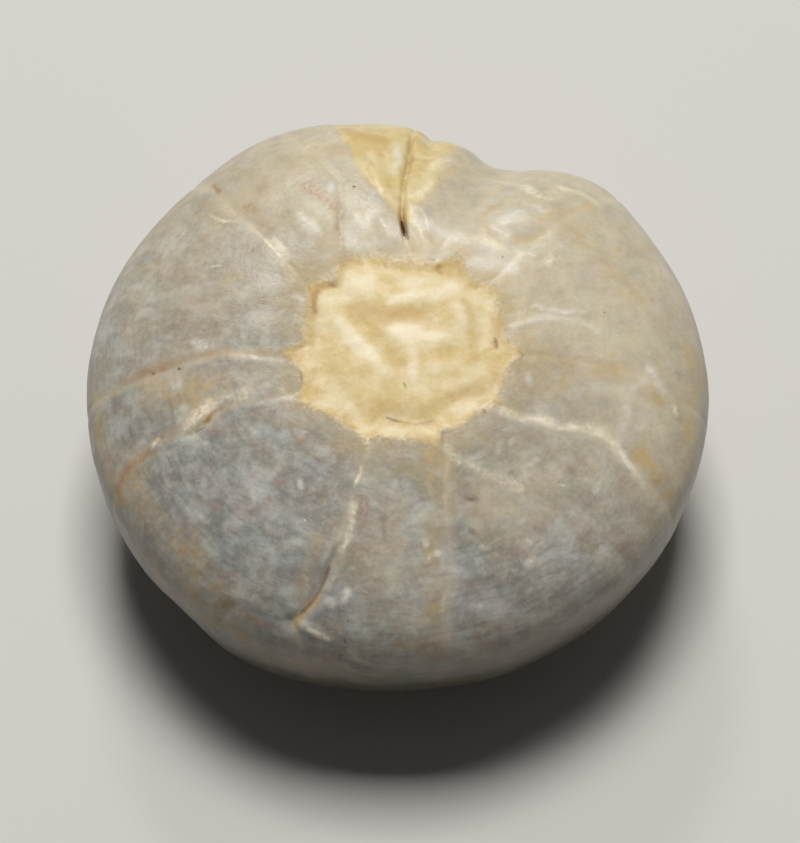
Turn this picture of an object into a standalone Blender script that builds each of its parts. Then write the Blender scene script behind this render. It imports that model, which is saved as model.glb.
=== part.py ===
"""A fossil sea urchin: one solid stone that lies on its dome with the mouth side up.

The test is a flattened globe turned about Z. Its relief is worked out as heights
along the surface normal: the filled mouth with its ragged rim, the ten seams of the
five ray-shaped plate rows, the slit and lobe behind the mouth, a worn notch in the
rim and two shallow pits. A flake scar is then cut low on one side, and the dome's
summit is worn to the small flat that the fossil rests on.
"""

import math

import bmesh
import bpy
import numpy as np
from mathutils import Matrix, Vector

# Lengths are millimetres and angles are degrees; MM turns finished points into metres.
# Azimuth runs anticlockwise from +X, seen from above. Colatitude runs from 0 at the
# middle of the mouth side to 180 at the middle of the dome.
MM = 0.001
NAME = "fossil_urchin"

# The turned form: one rounded profile above the widest ring and a deeper one below.
EQUATOR_RADIUS = 13.0
LENGTH_TO_WIDTH = 1.02
MOUTH_SIDE_RISE = 4.3
MOUTH_SIDE_FULLNESS = 2.5
DOME_DEPTH = 7.9
DOME_FULLNESS = 2.3
REST_FLAT_CUT = 0.15

# Broad departures from the turned form: height, azimuth, spread round the rim.
SHOULDER = (0.44, 114.0, 16.0)
RIGHT_SHOULDER = (0.20, 46.0, 10.0)
FRONT_FULLNESS = (0.20, 240.0, 14.0)
RIM_SPREAD = 22.0
NOTCH = (1.22, 69.0, 12.0)
NOTCH_STARTS = 52.0
NOTCH_FULL = 76.0
NOTCH_FADE = 28.0

# The mouth: its ragged rim as (azimuth, colatitude) points, running out along the
# seams; the chalk that fills it lies almost flush, a little deeper on the left.
MOUTH_OUTLINE = (
    (4, 46.6), (18, 46.2), (27, 48.0), (36, 47.8), (42, 44.6), (57, 48.3), (64, 44.6), (71, 42.4),
    (78, 42.3), (88, 41.0), (97, 43.7), (106, 45.2), (116, 46.9), (125, 44.6), (132, 41.9),
    (142, 47.2), (150, 43.9), (156, 42.0), (165, 42.0), (175, 41.7), (184, 44.0), (188, 47.9),
    (195, 46.2), (204, 45.6), (212, 47.5), (218, 50.0), (226, 48.7), (234, 47.2), (244, 48.1),
    (256, 51.5), (262, 48.7), (270, 48.6), (281, 49.6), (287, 51.4), (293, 48.2), (301, 49.4),
    (313, 49.0), (323, 50.8), (333, 48.3), (343, 48.2), (351, 50.7), (358, 47.6),
)
MOUTH_REACH = 46.5
FUNNEL_DEPTH = 0.20
FUNNEL_WIDTH = 7.0
MATRIX_RECESS = 0.09
MATRIX_DEEP_SIDE = (0.09, 180.0, 38.0)
DEEP_SIDE_REACH = (0.3, 0.85)
MATRIX_STEP = (0.93, 1.03)
MATRIX_CROWN = 0.22
CROWN_SPREAD = 0.62
CRESCENT = (0.07, 285.0, 42.0)
CRESCENT_PLACE = 0.85
CRESCENT_WIDTH = 0.06

# Seams of the plate rows, and the slit behind the mouth: each a run of
# (colatitude, azimuth) from the mouth's rim over the widest ring to the dome.
SEAMS = {
    "right_back": ((50, 351), (68, 354), (78, 351), (90, 351), (160, 354)),
    "back_right_outer": ((50, 36), (62, 42), (90, 43), (160, 42)),
    "back_right_inner": ((50, 68), (65, 64), (90, 62), (160, 66)),
    "back_left_inner": ((50, 118), (60, 110), (66, 107), (75, 111), (90, 114), (160, 114)),
    "back_left_outer": ((50, 144), (56, 140), (64, 137), (78, 133), (90, 133), (160, 138)),
    "left_back": ((46, 193), (61, 184), (71, 187), (90, 187), (160, 186)),
    "left_front": ((50, 212), (63, 204), (70, 206), (75, 203), (82, 206), (160, 210)),
    "front_left": ((50, 257), (58, 257), (65, 256), (76, 255), (82, 251), (90, 253), (160, 258)),
    "front_right": ((50, 293), (60, 287), (67, 284), (78, 280), (90, 278), (160, 282)),
    "right_front": ((50, 322), (61, 325), (70, 333), (76, 330), (90, 330), (160, 330)),
}
SEAM_DEPTH = 0.08
SEAM_HALF_WIDTH = 0.20
SEAM_START = (-1.0, 2.0)
SEAM_FADE = (146.0, 160.0)
SLIT = ((44, 83), (50, 86), (57, 88), (65, 88), (71, 87), (90, 86), (160, 90))
SLIT_DEPTH = 0.60
SLIT_PLACE = 53.5
SLIT_LENGTH = 3.2
CRACK_DEPTH = 0.16
CRACK_START = (50.0, 58.0)
CRACK_FADE = (74.0, 90.0)

# Shallow pits: depth, azimuth, colatitude, radius.
PITS = ((0.10, 51.0, 65.0, 0.60), (0.10, 41.0, 63.0, 0.55))

# The flake scar: an ellipsoid bites this deep into the side, low on the left.
SCAR_AZIMUTH = 224.0
SCAR_COLATITUDE = 103.0
SCAR_BITE = 0.50
SCAR_HALF_SIZES = (1.5, 4.6, 3.4)
SCAR_TILT = 14.0
SCAR_FACETS = (36, 20)

# The net of points: columns run along the seams, rings follow the mouth's rim.
COLUMN_SPACING = 4.0
SEAM_SHOULDER = 0.34
SHOULDER_SHARE = 0.2
MOUTH_RINGS = (0.0, 0.18, 0.36, 0.54, 0.68, 0.79, 0.87, 0.94)
SIDE_RINGS = 14
SIDE_CROWDING = 1.15
DOME_RINGS = 13
WELD = 0.001
SHARP_ANGLE = 35.0


def bell(offset, width):
    """A rounded hill: 1 where offset is 0, fading to nothing at about two widths."""
    return np.exp(-(offset / width) ** 2)


def ease(value, start, end):
    """A smooth step from 0 at start to 1 at end."""
    step = np.clip((value - start) / (end - start), 0.0, 1.0)
    return step * step * (3.0 - 2.0 * step)


def turn(azimuth, centre):
    """The signed angle from centre round to azimuth."""
    return (azimuth - centre + 180.0) % 360.0 - 180.0


def run_azimuth(run, colatitude):
    """The azimuth of a seam where it crosses a colatitude."""
    places = np.array(run, dtype=float)
    return np.interp(colatitude, places[:, 0], places[:, 1])


def turned_form(azimuth, colatitude):
    """Points and outward normals of the turned form: (r/R)^n + (z/h)^n = 1."""
    angle = np.radians(azimuth)
    across = np.sin(np.radians(colatitude))
    upward = np.cos(np.radians(colatitude))
    height = np.where(upward >= 0.0, MOUTH_SIDE_RISE, DOME_DEPTH)
    power = np.where(upward >= 0.0, MOUTH_SIDE_FULLNESS, DOME_FULLNESS)
    reach = ((across / EQUATOR_RADIUS) ** power + (np.abs(upward) / height) ** power) ** (-1.0 / power)
    radius = reach * across
    level = reach * upward
    points = np.stack((radius * np.cos(angle), radius * np.sin(angle) * LENGTH_TO_WIDTH, level), -1)
    outward = radius ** (power - 1.0) / EQUATOR_RADIUS ** power
    lift = np.sign(level) * np.abs(level) ** (power - 1.0) / height ** power
    normals = np.stack((outward * np.cos(angle), outward * np.sin(angle), lift), -1)
    return points, normals / np.linalg.norm(normals, axis=-1, keepdims=True), radius


def mouth_edge(azimuth):
    """The colatitude of the mouth's ragged rim."""
    outline = np.array(MOUTH_OUTLINE)
    return np.interp(azimuth, outline[:, 0], outline[:, 1], period=360.0)


def rim_swell(azimuth, colatitude):
    """Shoulders and the worn notch round the rim, as heights."""
    swell = np.zeros_like(azimuth)
    for height, place, spread in (SHOULDER, RIGHT_SHOULDER, FRONT_FULLNESS):
        swell = swell + height * bell(turn(azimuth, place), spread) * bell(colatitude - 90.0, RIM_SPREAD)
    depth, place, spread = NOTCH
    reach = ease(colatitude, NOTCH_STARTS, NOTCH_FULL) * bell(np.maximum(colatitude - 90.0, 0.0), NOTCH_FADE)
    return swell - depth * bell(turn(azimuth, place), spread) * reach


def mouth_relief(azimuth, colatitude):
    """The funnel, the step down to the filling, its crown and its crescent furrow."""
    edge = mouth_edge(azimuth)
    share = colatitude / edge
    funnel = FUNNEL_DEPTH * np.exp(-np.maximum(colatitude - MOUTH_REACH, 0.0) / FUNNEL_WIDTH)
    depth, place, spread = MATRIX_DEEP_SIDE
    recess = MATRIX_RECESS + depth * bell(turn(azimuth, place), spread) * ease(share, *DEEP_SIDE_REACH)
    recess = recess * (1.0 - ease(share, *MATRIX_STEP))
    crown = MATRIX_CROWN * bell(share, CROWN_SPREAD)
    depth, place, spread = CRESCENT
    furrow = depth * bell(share - CRESCENT_PLACE, CRESCENT_WIDTH) * bell(turn(azimuth, place), spread)
    return crown - funnel - recess - furrow


def groove_relief(azimuth, colatitude, radius):
    """Seams, the slit and its crack, as grooves by the distance across each."""
    outside = ease(colatitude - mouth_edge(azimuth), *SEAM_START) * (1.0 - ease(colatitude, *SEAM_FADE))
    relief = np.zeros_like(azimuth)
    for run in SEAMS.values():
        distance = np.radians(turn(azimuth, run_azimuth(run, colatitude))) * radius
        relief = relief - SEAM_DEPTH * outside * bell(distance, SEAM_HALF_WIDTH)
    distance = np.radians(turn(azimuth, run_azimuth(SLIT, colatitude))) * radius
    depth = SLIT_DEPTH * bell(colatitude - SLIT_PLACE, SLIT_LENGTH)
    depth = depth + CRACK_DEPTH * ease(colatitude, *CRACK_START) * (1.0 - ease(colatitude, *CRACK_FADE))
    return relief - depth * outside * bell(distance, SEAM_HALF_WIDTH)


def pit_relief(points):
    """Shallow round pits, by the distance from each one's middle."""
    relief = np.zeros(points.shape[:-1])
    for depth, azimuth, colatitude, size in PITS:
        middle = turned_form(np.array(azimuth), np.array(colatitude))[0]
        relief = relief - depth * bell(np.linalg.norm(points - middle, axis=-1), size)
    return relief


def urchin_surface(azimuth, colatitude):
    """The finished surface, before the scar and the resting flat are cut."""
    points, normals, radius = turned_form(azimuth, colatitude)
    height = rim_swell(azimuth, colatitude) + mouth_relief(azimuth, colatitude)
    height = height + groove_relief(azimuth, colatitude, radius) + pit_relief(points)
    return points + normals * height[..., None]


def net_columns():
    """Every column as (seam before it, seam after it, share of the way, or None on the seam)."""
    lines = sorted([*SEAMS.values(), SLIT], key=lambda run: run_azimuth(run, 90.0) % 360.0)
    columns = []
    for run, following in zip(lines, lines[1:] + lines[:1]):
        gap = (run_azimuth(following, 90.0) - run_azimuth(run, 90.0)) % 360.0
        columns.append((run, following, None))
        columns += [(run, following, share) for share in np.linspace(0.0, 1.0, round(gap / COLUMN_SPACING))]
    return columns


def column_azimuth(column, colatitude):
    """A column's azimuth: on its seam, or spaced evenly between two seams' shoulders."""
    run, following, share = column
    start = run_azimuth(run, colatitude)
    if share is None:
        return start
    gap = (run_azimuth(following, colatitude) - start) % 360.0
    radius = np.maximum(turned_form(start, colatitude)[2], SEAM_SHOULDER)
    shoulder = np.minimum(np.degrees(SEAM_SHOULDER / radius), gap * SHOULDER_SHARE)
    return start + shoulder + (gap - 2.0 * shoulder) * share


def ring_colatitudes(edge):
    """The colatitudes of the rings on one column whose mouth ends at edge."""
    side = edge + (90.0 - edge) * np.linspace(0.0, 1.0, SIDE_RINGS) ** SIDE_CROWDING
    dome = np.linspace(90.0, 180.0, DOME_RINGS + 1)[1:]
    return np.concatenate((edge * np.array(MOUTH_RINGS), side, dome))


def net_places():
    """The place of every point of the net, as columns by rings."""
    places = []
    for column in net_columns():
        edge = mouth_edge(column_azimuth(column, np.array(MOUTH_REACH)))
        colatitude = ring_colatitudes(edge)
        places.append(urchin_surface(column_azimuth(column, colatitude), colatitude))
    return np.array(places)


def wrap_grid(places):
    """A flat grid wrapped over the surface: round the test one way, mouth to dome the other."""
    columns, rings = places.shape[:2]
    grid = bmesh.new()
    bmesh.ops.create_grid(grid, x_segments=columns, y_segments=rings - 1, size=0.5)
    for vert in grid.verts:
        column = round((vert.co.x + 0.5) * columns) % columns
        ring = round((vert.co.y + 0.5) * (rings - 1))
        vert.co = places[column, ring] * MM
    bmesh.ops.remove_doubles(grid, verts=grid.verts, dist=WELD * MM)
    return grid


def wear_flat(body):
    """Cut the dome's summit off level and close the cut."""
    level = (0.0, 0.0, (REST_FLAT_CUT - DOME_DEPTH) * MM)
    everything = body.verts[:] + body.edges[:] + body.faces[:]
    cut = bmesh.ops.bisect_plane(body, geom=everything, plane_co=level, plane_no=(0, 0, -1), clear_outer=True)
    rim = [item for item in cut["geom_cut"] if isinstance(item, bmesh.types.BMEdge)]
    bmesh.ops.edgeloop_fill(body, edges=rim)


def bounding_shift(body):
    """The move that puts the middle of the body's lowest level at the origin."""
    corners = np.array([vert.co[:] for vert in body.verts])
    low, high = corners.min(axis=0), corners.max(axis=0)
    return Matrix.Translation((-(low[0] + high[0]) / 2.0, -(low[1] + high[1]) / 2.0, -low[2]))


def flake_ellipsoid():
    """The ellipsoid that the flake scar is struck out with, in the turned form's own frame."""
    place, outward, _ = turned_form(np.array(SCAR_AZIMUTH), np.array(SCAR_COLATITUDE))
    centre = Vector((place + outward * (SCAR_HALF_SIZES[0] - SCAR_BITE)) * MM)
    facing = Vector(outward).to_track_quat("X", "Z").to_matrix().to_4x4()
    tilt = Matrix.Rotation(math.radians(SCAR_TILT), 4, "X")
    sizes = Matrix.Diagonal((*(size * MM for size in SCAR_HALF_SIZES), 1.0))
    ellipsoid = bmesh.new()
    matrix = Matrix.Translation(centre) @ facing @ tilt @ sizes
    around, along = SCAR_FACETS
    bmesh.ops.create_uvsphere(ellipsoid, u_segments=around, v_segments=along, radius=1.0, matrix=matrix)
    return ellipsoid


def add_object(name, body):
    """A named object that holds the body's mesh."""
    bmesh.ops.recalc_face_normals(body, faces=body.faces)
    mesh = bpy.data.meshes.new(name)
    body.to_mesh(mesh)
    body.free()
    item = bpy.data.objects.new(name, mesh)
    bpy.context.scene.collection.objects.link(item)
    return item


def fossil_stone():
    """Waxy calcite: cool grey-beige, faintly glossy."""
    material = bpy.data.materials.new("waxy_calcite")
    material.use_nodes = True
    shader = material.node_tree.nodes["Principled BSDF"]
    shader.inputs["Base Color"].default_value = (0.39, 0.36, 0.29, 1.0)
    shader.inputs["Roughness"].default_value = 0.42
    shader.inputs["Metallic"].default_value = 0.0
    return material


def build_urchin():
    """The stone and the cutter that its flake scar is struck out with."""
    body = wrap_grid(net_places())
    wear_flat(body)
    cutter = flake_ellipsoid()
    shift = bounding_shift(body)
    for piece in (body, cutter):
        bmesh.ops.transform(piece, matrix=shift, verts=piece.verts)

    flake_cutter = add_object("flake_cutter", cutter)
    flake_cutter.hide_render = True
    flake_cutter.display_type = "WIRE"

    urchin = add_object(NAME, body)
    urchin.data.materials.append(fossil_stone())
    urchin.data.shade_smooth()
    urchin.data.set_sharp_from_angle(angle=math.radians(SHARP_ANGLE))
    scar = urchin.modifiers.new("flake_scar", "BOOLEAN")
    scar.operation = "DIFFERENCE"
    scar.solver = "EXACT"
    scar.object = flake_cutter


for item in list(bpy.data.objects):
    bpy.data.objects.remove(item, do_unlink=True)
build_urchin()
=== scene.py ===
"""A fossil sea urchin, dressed: one waxy stone with a chalk-filled mouth, veins and stains.

The CAD stone carries the main form. This scene stands a finer skin of the same form in its
place, with the small relief, the plate seams, cracks, veins and stains, and lights it softly
on a plain pale floor. Some of the colour is painted light: glints and highlights, a sheen
behind the mouth, and shade on the side away from the lamps and under the rim. Lengths are
millimetres in the urchin's own frame, where the widest ring lies at height 0, until a finished
point is moved into the frame in metres. Azimuth runs anticlockwise from +X, seen from above,
and colatitude runs from 0 at the middle of the mouth to 180 at the middle of the dome, both in
degrees.
"""
import logging
import math
from dataclasses import dataclass, field
from enum import Enum

import bpy
import numpy as np
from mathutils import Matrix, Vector


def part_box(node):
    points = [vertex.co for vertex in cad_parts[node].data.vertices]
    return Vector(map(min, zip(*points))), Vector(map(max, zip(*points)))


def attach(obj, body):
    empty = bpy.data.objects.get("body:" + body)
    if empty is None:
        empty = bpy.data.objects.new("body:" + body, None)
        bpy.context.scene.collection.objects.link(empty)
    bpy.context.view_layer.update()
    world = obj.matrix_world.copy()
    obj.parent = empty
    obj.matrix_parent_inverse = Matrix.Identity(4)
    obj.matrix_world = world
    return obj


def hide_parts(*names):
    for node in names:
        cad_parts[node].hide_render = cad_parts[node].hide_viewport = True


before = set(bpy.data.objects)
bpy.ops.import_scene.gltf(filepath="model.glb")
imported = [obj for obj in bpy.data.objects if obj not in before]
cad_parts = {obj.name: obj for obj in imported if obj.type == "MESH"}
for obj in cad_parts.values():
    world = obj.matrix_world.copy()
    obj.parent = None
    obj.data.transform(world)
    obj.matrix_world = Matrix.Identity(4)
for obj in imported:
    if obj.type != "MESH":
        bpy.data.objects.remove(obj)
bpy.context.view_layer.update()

log = logging.getLogger("urchin")

MM = 0.001
NODE = "fossil_urchin"
BODY = "root"

# The sRGB curve: a straight toe up to a limit, then a power.
SRGB_TOE, SRGB_SLOPE, SRGB_LIFT, SRGB_POWER = 0.04045, 12.92, 0.055, 2.4
# Large odd numbers that scatter whole-numbered cells, and how far each seed moves the lattice.
CELL_PRIMES, SEED_PRIME, MIX_PRIME = (73856093, 19349663, 83492791), 2654435761, 1274126177
SEED_SHIFT = 17.31
# A profile is measured at every quarter of a degree, and the poles lie this far off the axis.
PROFILE_STEPS = 721
POLE_GAP = 1e-4
# Farther off than any fine line reaches, in half widths.
FAR_OFF = 50.0

Array = np.ndarray
Run = tuple[tuple[float, float], ...]
Pair = tuple[float, float]
Numbers = tuple[float, ...]
Lumps = tuple[tuple[float, float, int], ...]
Socket = bpy.types.NodeSocket
Patterns = dict[str, Socket]


# ---------------------------------------------------------------- plain working functions


def bell(offset: Array, width: float) -> Array:
    """A rounded hill, exp(-(offset / width) squared): 1 in the middle, near nothing at two widths."""
    return np.exp(-(offset / width) ** 2)


def ease(value: Array, start: float, end: float) -> Array:
    """A smooth step from 0 at start to 1 at end, by 3t squared minus 2t cubed."""
    step = np.clip((value - start) / (end - start), 0.0, 1.0)
    return step * step * (3.0 - 2.0 * step)


def turn(azimuth: Array, centre: float) -> Array:
    """The signed angle from centre round to azimuth, from -180 to 180."""
    return (azimuth - centre + 180.0) % 360.0 - 180.0


def hex_linear(colour: str) -> tuple[float, float, float, float]:
    """A colour for a shader socket.

    Args:
        colour: an sRGB colour such as "#C9BEA9".

    Returns:
        Its linear red, green and blue, and an alpha of 1.
    """
    shares = [int(colour[place:place + 2], 16) / 255.0 for place in (1, 3, 5)]
    return (*(
        share / SRGB_SLOPE if share <= SRGB_TOE else ((share + SRGB_LIFT) / (1.0 + SRGB_LIFT)) ** SRGB_POWER
        for share in shares
    ), 1.0)


def lattice(cells: Array, seed: int) -> Array:
    """A repeatable random number from -1 to 1 for each whole-numbered cell, by integer hashing."""
    mixed = seed * SEED_PRIME
    for axis, prime in enumerate(CELL_PRIMES):
        mixed = cells[..., axis] * prime ^ mixed
    mixed = (mixed ^ (mixed >> 13)) * MIX_PRIME & 0x7FFFFFFF
    return ((mixed ^ (mixed >> 16)) & 0xFFFF) / 32767.5 - 1.0


def lumps(points: Array, grain: float, seed: int) -> Array:
    """Smooth random lumps.

    Each point takes the random numbers of the eight lattice corners round it, weighted by
    the eased distance along each axis.

    Args:
        points: places in millimetres.
        grain: the size of a lump in millimetres.
        seed: which pattern.

    Returns:
        A value from -1 to 1 for each point.
    """
    scaled = points / grain + seed * SEED_SHIFT
    corner = np.floor(scaled).astype(np.int64)
    share = scaled - corner
    share = share * share * (3.0 - 2.0 * share)
    total = np.zeros(points.shape[:-1])
    for offset in np.ndindex(2, 2, 2):
        weight = np.prod(np.where(np.array(offset) == 1, share, 1.0 - share), axis=-1)
        total += weight * lattice(corner + np.array(offset), seed)
    return total


def add_node(
    tree: bpy.types.NodeTree, kind: str, inputs: dict[str | int, object] | None = None, **settings: object
) -> bpy.types.Node:
    """Add one shader node with its settings and links.

    Args:
        tree: the material's node tree.
        kind: Blender's name for the node.
        inputs: what each input socket gets, a value or another node's output socket.
        settings: the node's own properties.

    Returns:
        The new node.
    """
    added = tree.nodes.new(kind)
    for name, value in settings.items():
        setattr(added, name, value)
    for socket, value in (inputs or {}).items():
        if isinstance(value, Socket):
            tree.links.new(value, added.inputs[socket])
        else:
            added.inputs[socket].default_value = value
    return added


# ---------------------------------------------------------------- the form of the stone


@dataclass(frozen=True)
class TurnedForm:
    """The flattened globe under all the relief, with one profile above its widest ring and one below."""

    equator_radius: float = 13.0
    length_to_width: float = 1.02
    mouth_side_rise: float = 4.3
    mouth_side_fullness: float = 2.5
    dome_depth: float = 7.9
    dome_fullness: float = 2.3
    rest_flat_cut: float = 0.15
    rest_softness: float = 0.02

    def place(self, azimuth: Array, colatitude: Array) -> tuple[Array, Array, Array]:
        """Work out the turned surface from (r / R) to the n plus (z / h) to the n equals 1.

        Args:
            azimuth: degrees round the axis.
            colatitude: degrees down from the middle of the mouth.

        Returns:
            Points, outward unit normals, and the radius of each point from the axis.
        """
        angle = np.radians(azimuth)
        across = np.sin(np.radians(colatitude))
        upward = np.cos(np.radians(colatitude))
        height = np.where(upward >= 0.0, self.mouth_side_rise, self.dome_depth)
        power = np.where(upward >= 0.0, self.mouth_side_fullness, self.dome_fullness)
        reach = (across / self.equator_radius) ** power + (np.abs(upward) / height) ** power
        reach = reach ** (-1.0 / power)
        radius = reach * across
        level = reach * upward
        points = np.stack((radius * np.cos(angle), radius * np.sin(angle) * self.length_to_width, level), -1)
        outward = radius ** (power - 1.0) / self.equator_radius ** power
        lift = np.sign(level) * np.abs(level) ** (power - 1.0) / height ** power
        normals = np.stack((outward * np.cos(angle), outward * np.sin(angle), lift), -1)
        return points, normals / np.linalg.norm(normals, axis=-1, keepdims=True), radius

    def girdle(self, colatitude: Array) -> Array:
        """The length in millimetres over the surface from the middle of the mouth to each colatitude."""
        steps = np.linspace(0.0, 180.0, PROFILE_STEPS)
        profile = self.place(np.zeros_like(steps), steps)[0]
        lengths = np.linalg.norm(np.diff(profile, axis=0), axis=-1)
        return np.interp(colatitude, steps, np.concatenate(([0.0], np.cumsum(lengths))))

    def wear_flat(self, points: Array) -> Array:
        """Wear the dome's summit level: the height is softly held above the resting level."""
        floor = self.rest_flat_cut - self.dome_depth
        above = (points[..., 2] - floor) / self.rest_softness
        points[..., 2] = floor + self.rest_softness * np.logaddexp(0.0, above)
        return points


@dataclass(frozen=True)
class Rim:
    """Broad departures from the turned form, each a height, an azimuth and a spread in degrees."""

    swellings: tuple[tuple[float, float, float], ...] = (
        (0.44, 114.0, 16.0), (0.20, 46.0, 10.0), (0.20, 240.0, 14.0), (-0.27, 82.6, 1.9), (0.25, 75.2, 3.4),
    )
    spread: float = 22.0
    notch: tuple[float, float, float] = (1.22, 69.0, 12.0)
    notch_start: float = 52.0
    notch_full: float = 76.0
    notch_fade: float = 28.0

    def relief(self, azimuth: Array, colatitude: Array) -> Array:
        """Shoulders as hills round the widest ring, less a notch that deepens outwards from the mouth."""
        level = np.zeros_like(azimuth)
        for height, place, spread in self.swellings:
            level += height * bell(turn(azimuth, place), spread) * bell(colatitude - 90.0, self.spread)
        depth, place, spread = self.notch
        reach = ease(colatitude, self.notch_start, self.notch_full)
        reach = reach * bell(np.maximum(colatitude - 90.0, 0.0), self.notch_fade)
        return level - depth * bell(turn(azimuth, place), spread) * reach


@dataclass(frozen=True)
class Mouth:
    """The opening in the middle of the upper side: a ragged rim, a funnel round it, a chalky filling."""

    reach: float = 46.5
    outline: Run = (
        (256.4, 51.5), (254.2, 50), (251.7, 49), (248.3, 48.4), (244.2, 48.1), (239.3, 47.3), (234.3, 47.2),
        (229.2, 47.8), (225.5, 48.8), (221.8, 49.4), (216.9, 50), (214.1, 48.9), (211.7, 47.2),
        (208.6, 46.2), (203.8, 45.6), (199, 45.6), (193.3, 46.6), (188.1, 47.9), (185.8, 46.1), (184.2, 44),
        (181.4, 42.6), (175.7, 41.7), (170.2, 41.8), (164.8, 42.1), (159, 41.7), (154.7, 42), (150.9, 43.7),
        (146, 46.2), (142.3, 47.2), (139.5, 45.8), (136.1, 44.2), (134.6, 41.9), (130.4, 41.9), (125, 44.6),
        (120.1, 46.5), (115.4, 46.9), (112, 45.1), (106, 45.2), (101.9, 43.9), (97.2, 43.7), (92.6, 41.6),
        (87.4, 41), (82.2, 41.2), (77.5, 42.5), (70.9, 42.3), (65.5, 43.7), (62.5, 45.9), (59, 47.9),
        (55, 48.3), (48.8, 45.8), (42.6, 44.5), (37.9, 45.5), (36.4, 47.8), (30.7, 48), (26.6, 48),
        (24, 46.9), (17.7, 46.1), (10.6, 46.3), (4.1, 46.6), (359, 47.4), (355.4, 48.8), (353.2, 50.7),
        (350.3, 50.7), (346.7, 49.4), (343.2, 48.3), (338.1, 48), (333.1, 48.3), (328.5, 49.3),
        (324.8, 50.9), (322, 50.6), (318.4, 49.2), (313, 49), (306, 49.3), (300.1, 49.4), (295.6, 48.5),
        (292.6, 48.2), (290.2, 50.6), (287.3, 51.4), (284.3, 50.8), (280.6, 49.5), (274.9, 48.7),
        (269, 48.6), (263.6, 48.8), (259, 48.4), (257, 49.7),
    )
    funnel_depth: float = 0.20
    funnel_width: float = 7.0
    recess: float = 0.09
    deep_side: tuple[float, float, float] = (0.05, 180.0, 38.0)
    deep_side_reach: Pair = (0.3, 0.85)
    step: Pair = (0.93, 1.01)
    crown: float = 0.20
    crown_spread: float = 0.62
    crescent: tuple[float, float, float] = (0.07, 285.0, 42.0)
    crescent_place: float = 0.85
    crescent_width: float = 0.05

    def edge(self, azimuth: Array) -> Array:
        """The colatitude of the rim, straight between the points of its outline."""
        outline = np.array(self.outline)
        return np.interp(azimuth, outline[:, 0], outline[:, 1], period=360.0)

    def relief(self, azimuth: Array, colatitude: Array) -> Array:
        """The filling's crown, less the funnel round it, the step down at the rim and the crescent furrow."""
        edge = self.edge(azimuth)
        share = colatitude / edge
        funnel = self.funnel_depth * np.exp(-np.maximum(colatitude - self.reach, 0.0) / self.funnel_width)
        depth, place, spread = self.deep_side
        recess = self.recess + depth * bell(turn(azimuth, place), spread) * ease(share, *self.deep_side_reach)
        step = recess * (1.0 - ease(share, *self.step))
        crown = self.crown * bell(share, self.crown_spread)
        depth, place, spread = self.crescent
        furrow = depth * bell(share - self.crescent_place, self.crescent_width)
        return crown - funnel - step - furrow * bell(turn(azimuth, place), spread)


@dataclass(frozen=True)
class Seam:
    """A seam between two rows of plates, as a run of (colatitude, azimuth) from the mouth to the dome."""

    run: Run

    def azimuth(self, colatitude: Array) -> Array:
        """The seam's azimuth at each colatitude, straight between the points of its run."""
        places = np.array(self.run, dtype=float)
        return np.interp(colatitude, places[:, 0], places[:, 1])

    def across(self, azimuth: Array, colatitude: Array, radius: Array) -> Array:
        """The distance across the seam in millimetres: the angle from it times the radius."""
        return np.radians(turn(azimuth, self.azimuth(colatitude))) * radius


@dataclass(frozen=True)
class Plates:
    """The ten seams of the five rays, and the slit with its crack behind the mouth."""

    seams: tuple[Seam, ...] = (
        Seam(((50, 351), (68, 354), (78, 351), (90, 351), (160, 354))),  # right back
        Seam(((50, 36), (62, 42), (90, 43), (160, 42))),  # back right outer
        Seam(((50, 68), (65, 64), (90, 62), (160, 66))),  # back right inner
        Seam(((50, 118), (60, 110), (66, 107), (75, 111), (90, 114), (160, 114))),  # back left inner
        Seam(((50, 144), (56, 140), (64, 137), (78, 133), (90, 133), (160, 138))),  # back left outer
        Seam(((46, 193), (61, 184), (71, 187), (90, 187), (160, 186))),  # left back
        Seam(((50, 212), (63, 204), (70, 206), (75, 203), (82, 206), (160, 210))),  # left front
        Seam(((50, 257), (58, 257), (65, 256), (76, 255), (82, 251), (90, 253), (160, 258))),  # front left
        Seam(((50, 293), (60, 287), (67, 284), (78, 280), (90, 278), (160, 282))),  # front right
        Seam(((50, 322), (61, 325), (70, 333), (76, 330), (90, 330), (160, 330))),  # right front
    )
    slit: Seam = Seam(((44, 83), (50, 86), (57, 88), (65, 88), (71, 87), (90, 86), (160, 90)))
    depth: float = 0.030
    half_width: float = 0.20
    slit_half_width: float = 0.11
    start: Pair = (-1.0, 2.0)
    fade: Pair = (146.0, 160.0)
    slit_depth: float = 0.60
    slit_place: float = 53.5
    slit_length: float = 3.2
    crack_depth: float = 0.15
    crack_start: Pair = (50.0, 58.0)
    crack_fade: Pair = (74.0, 90.0)

    def lines(self) -> list[Seam]:
        """Every seam and the slit, in order round the widest ring."""
        return sorted([*self.seams, self.slit], key=lambda seam: float(seam.azimuth(90.0)) % 360.0)

    def nearest(self, azimuth: Array, colatitude: Array, radius: Array) -> Array:
        """The unsigned distance in millimetres to the nearest of the ten seams."""
        return np.min([np.abs(seam.across(azimuth, colatitude, radius)) for seam in self.seams], axis=0)

    def relief(self, azimuth: Array, colatitude: Array, radius: Array, edge: Array) -> Array:
        """Each seam as a rounded groove by the distance across it, and the deeper slit with its crack."""
        outside = ease(colatitude - edge, *self.start) * (1.0 - ease(colatitude, *self.fade))
        level = np.zeros_like(azimuth)
        for seam in self.seams:
            level -= self.depth * outside * bell(seam.across(azimuth, colatitude, radius), self.half_width)
        depth = self.slit_depth * bell(colatitude - self.slit_place, self.slit_length)
        crack = self.crack_depth * ease(colatitude, *self.crack_start)
        depth += crack * (1.0 - ease(colatitude, *self.crack_fade))
        across = self.slit.across(azimuth, colatitude, radius)
        return level - depth * outside * bell(across, self.slit_half_width)


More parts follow.
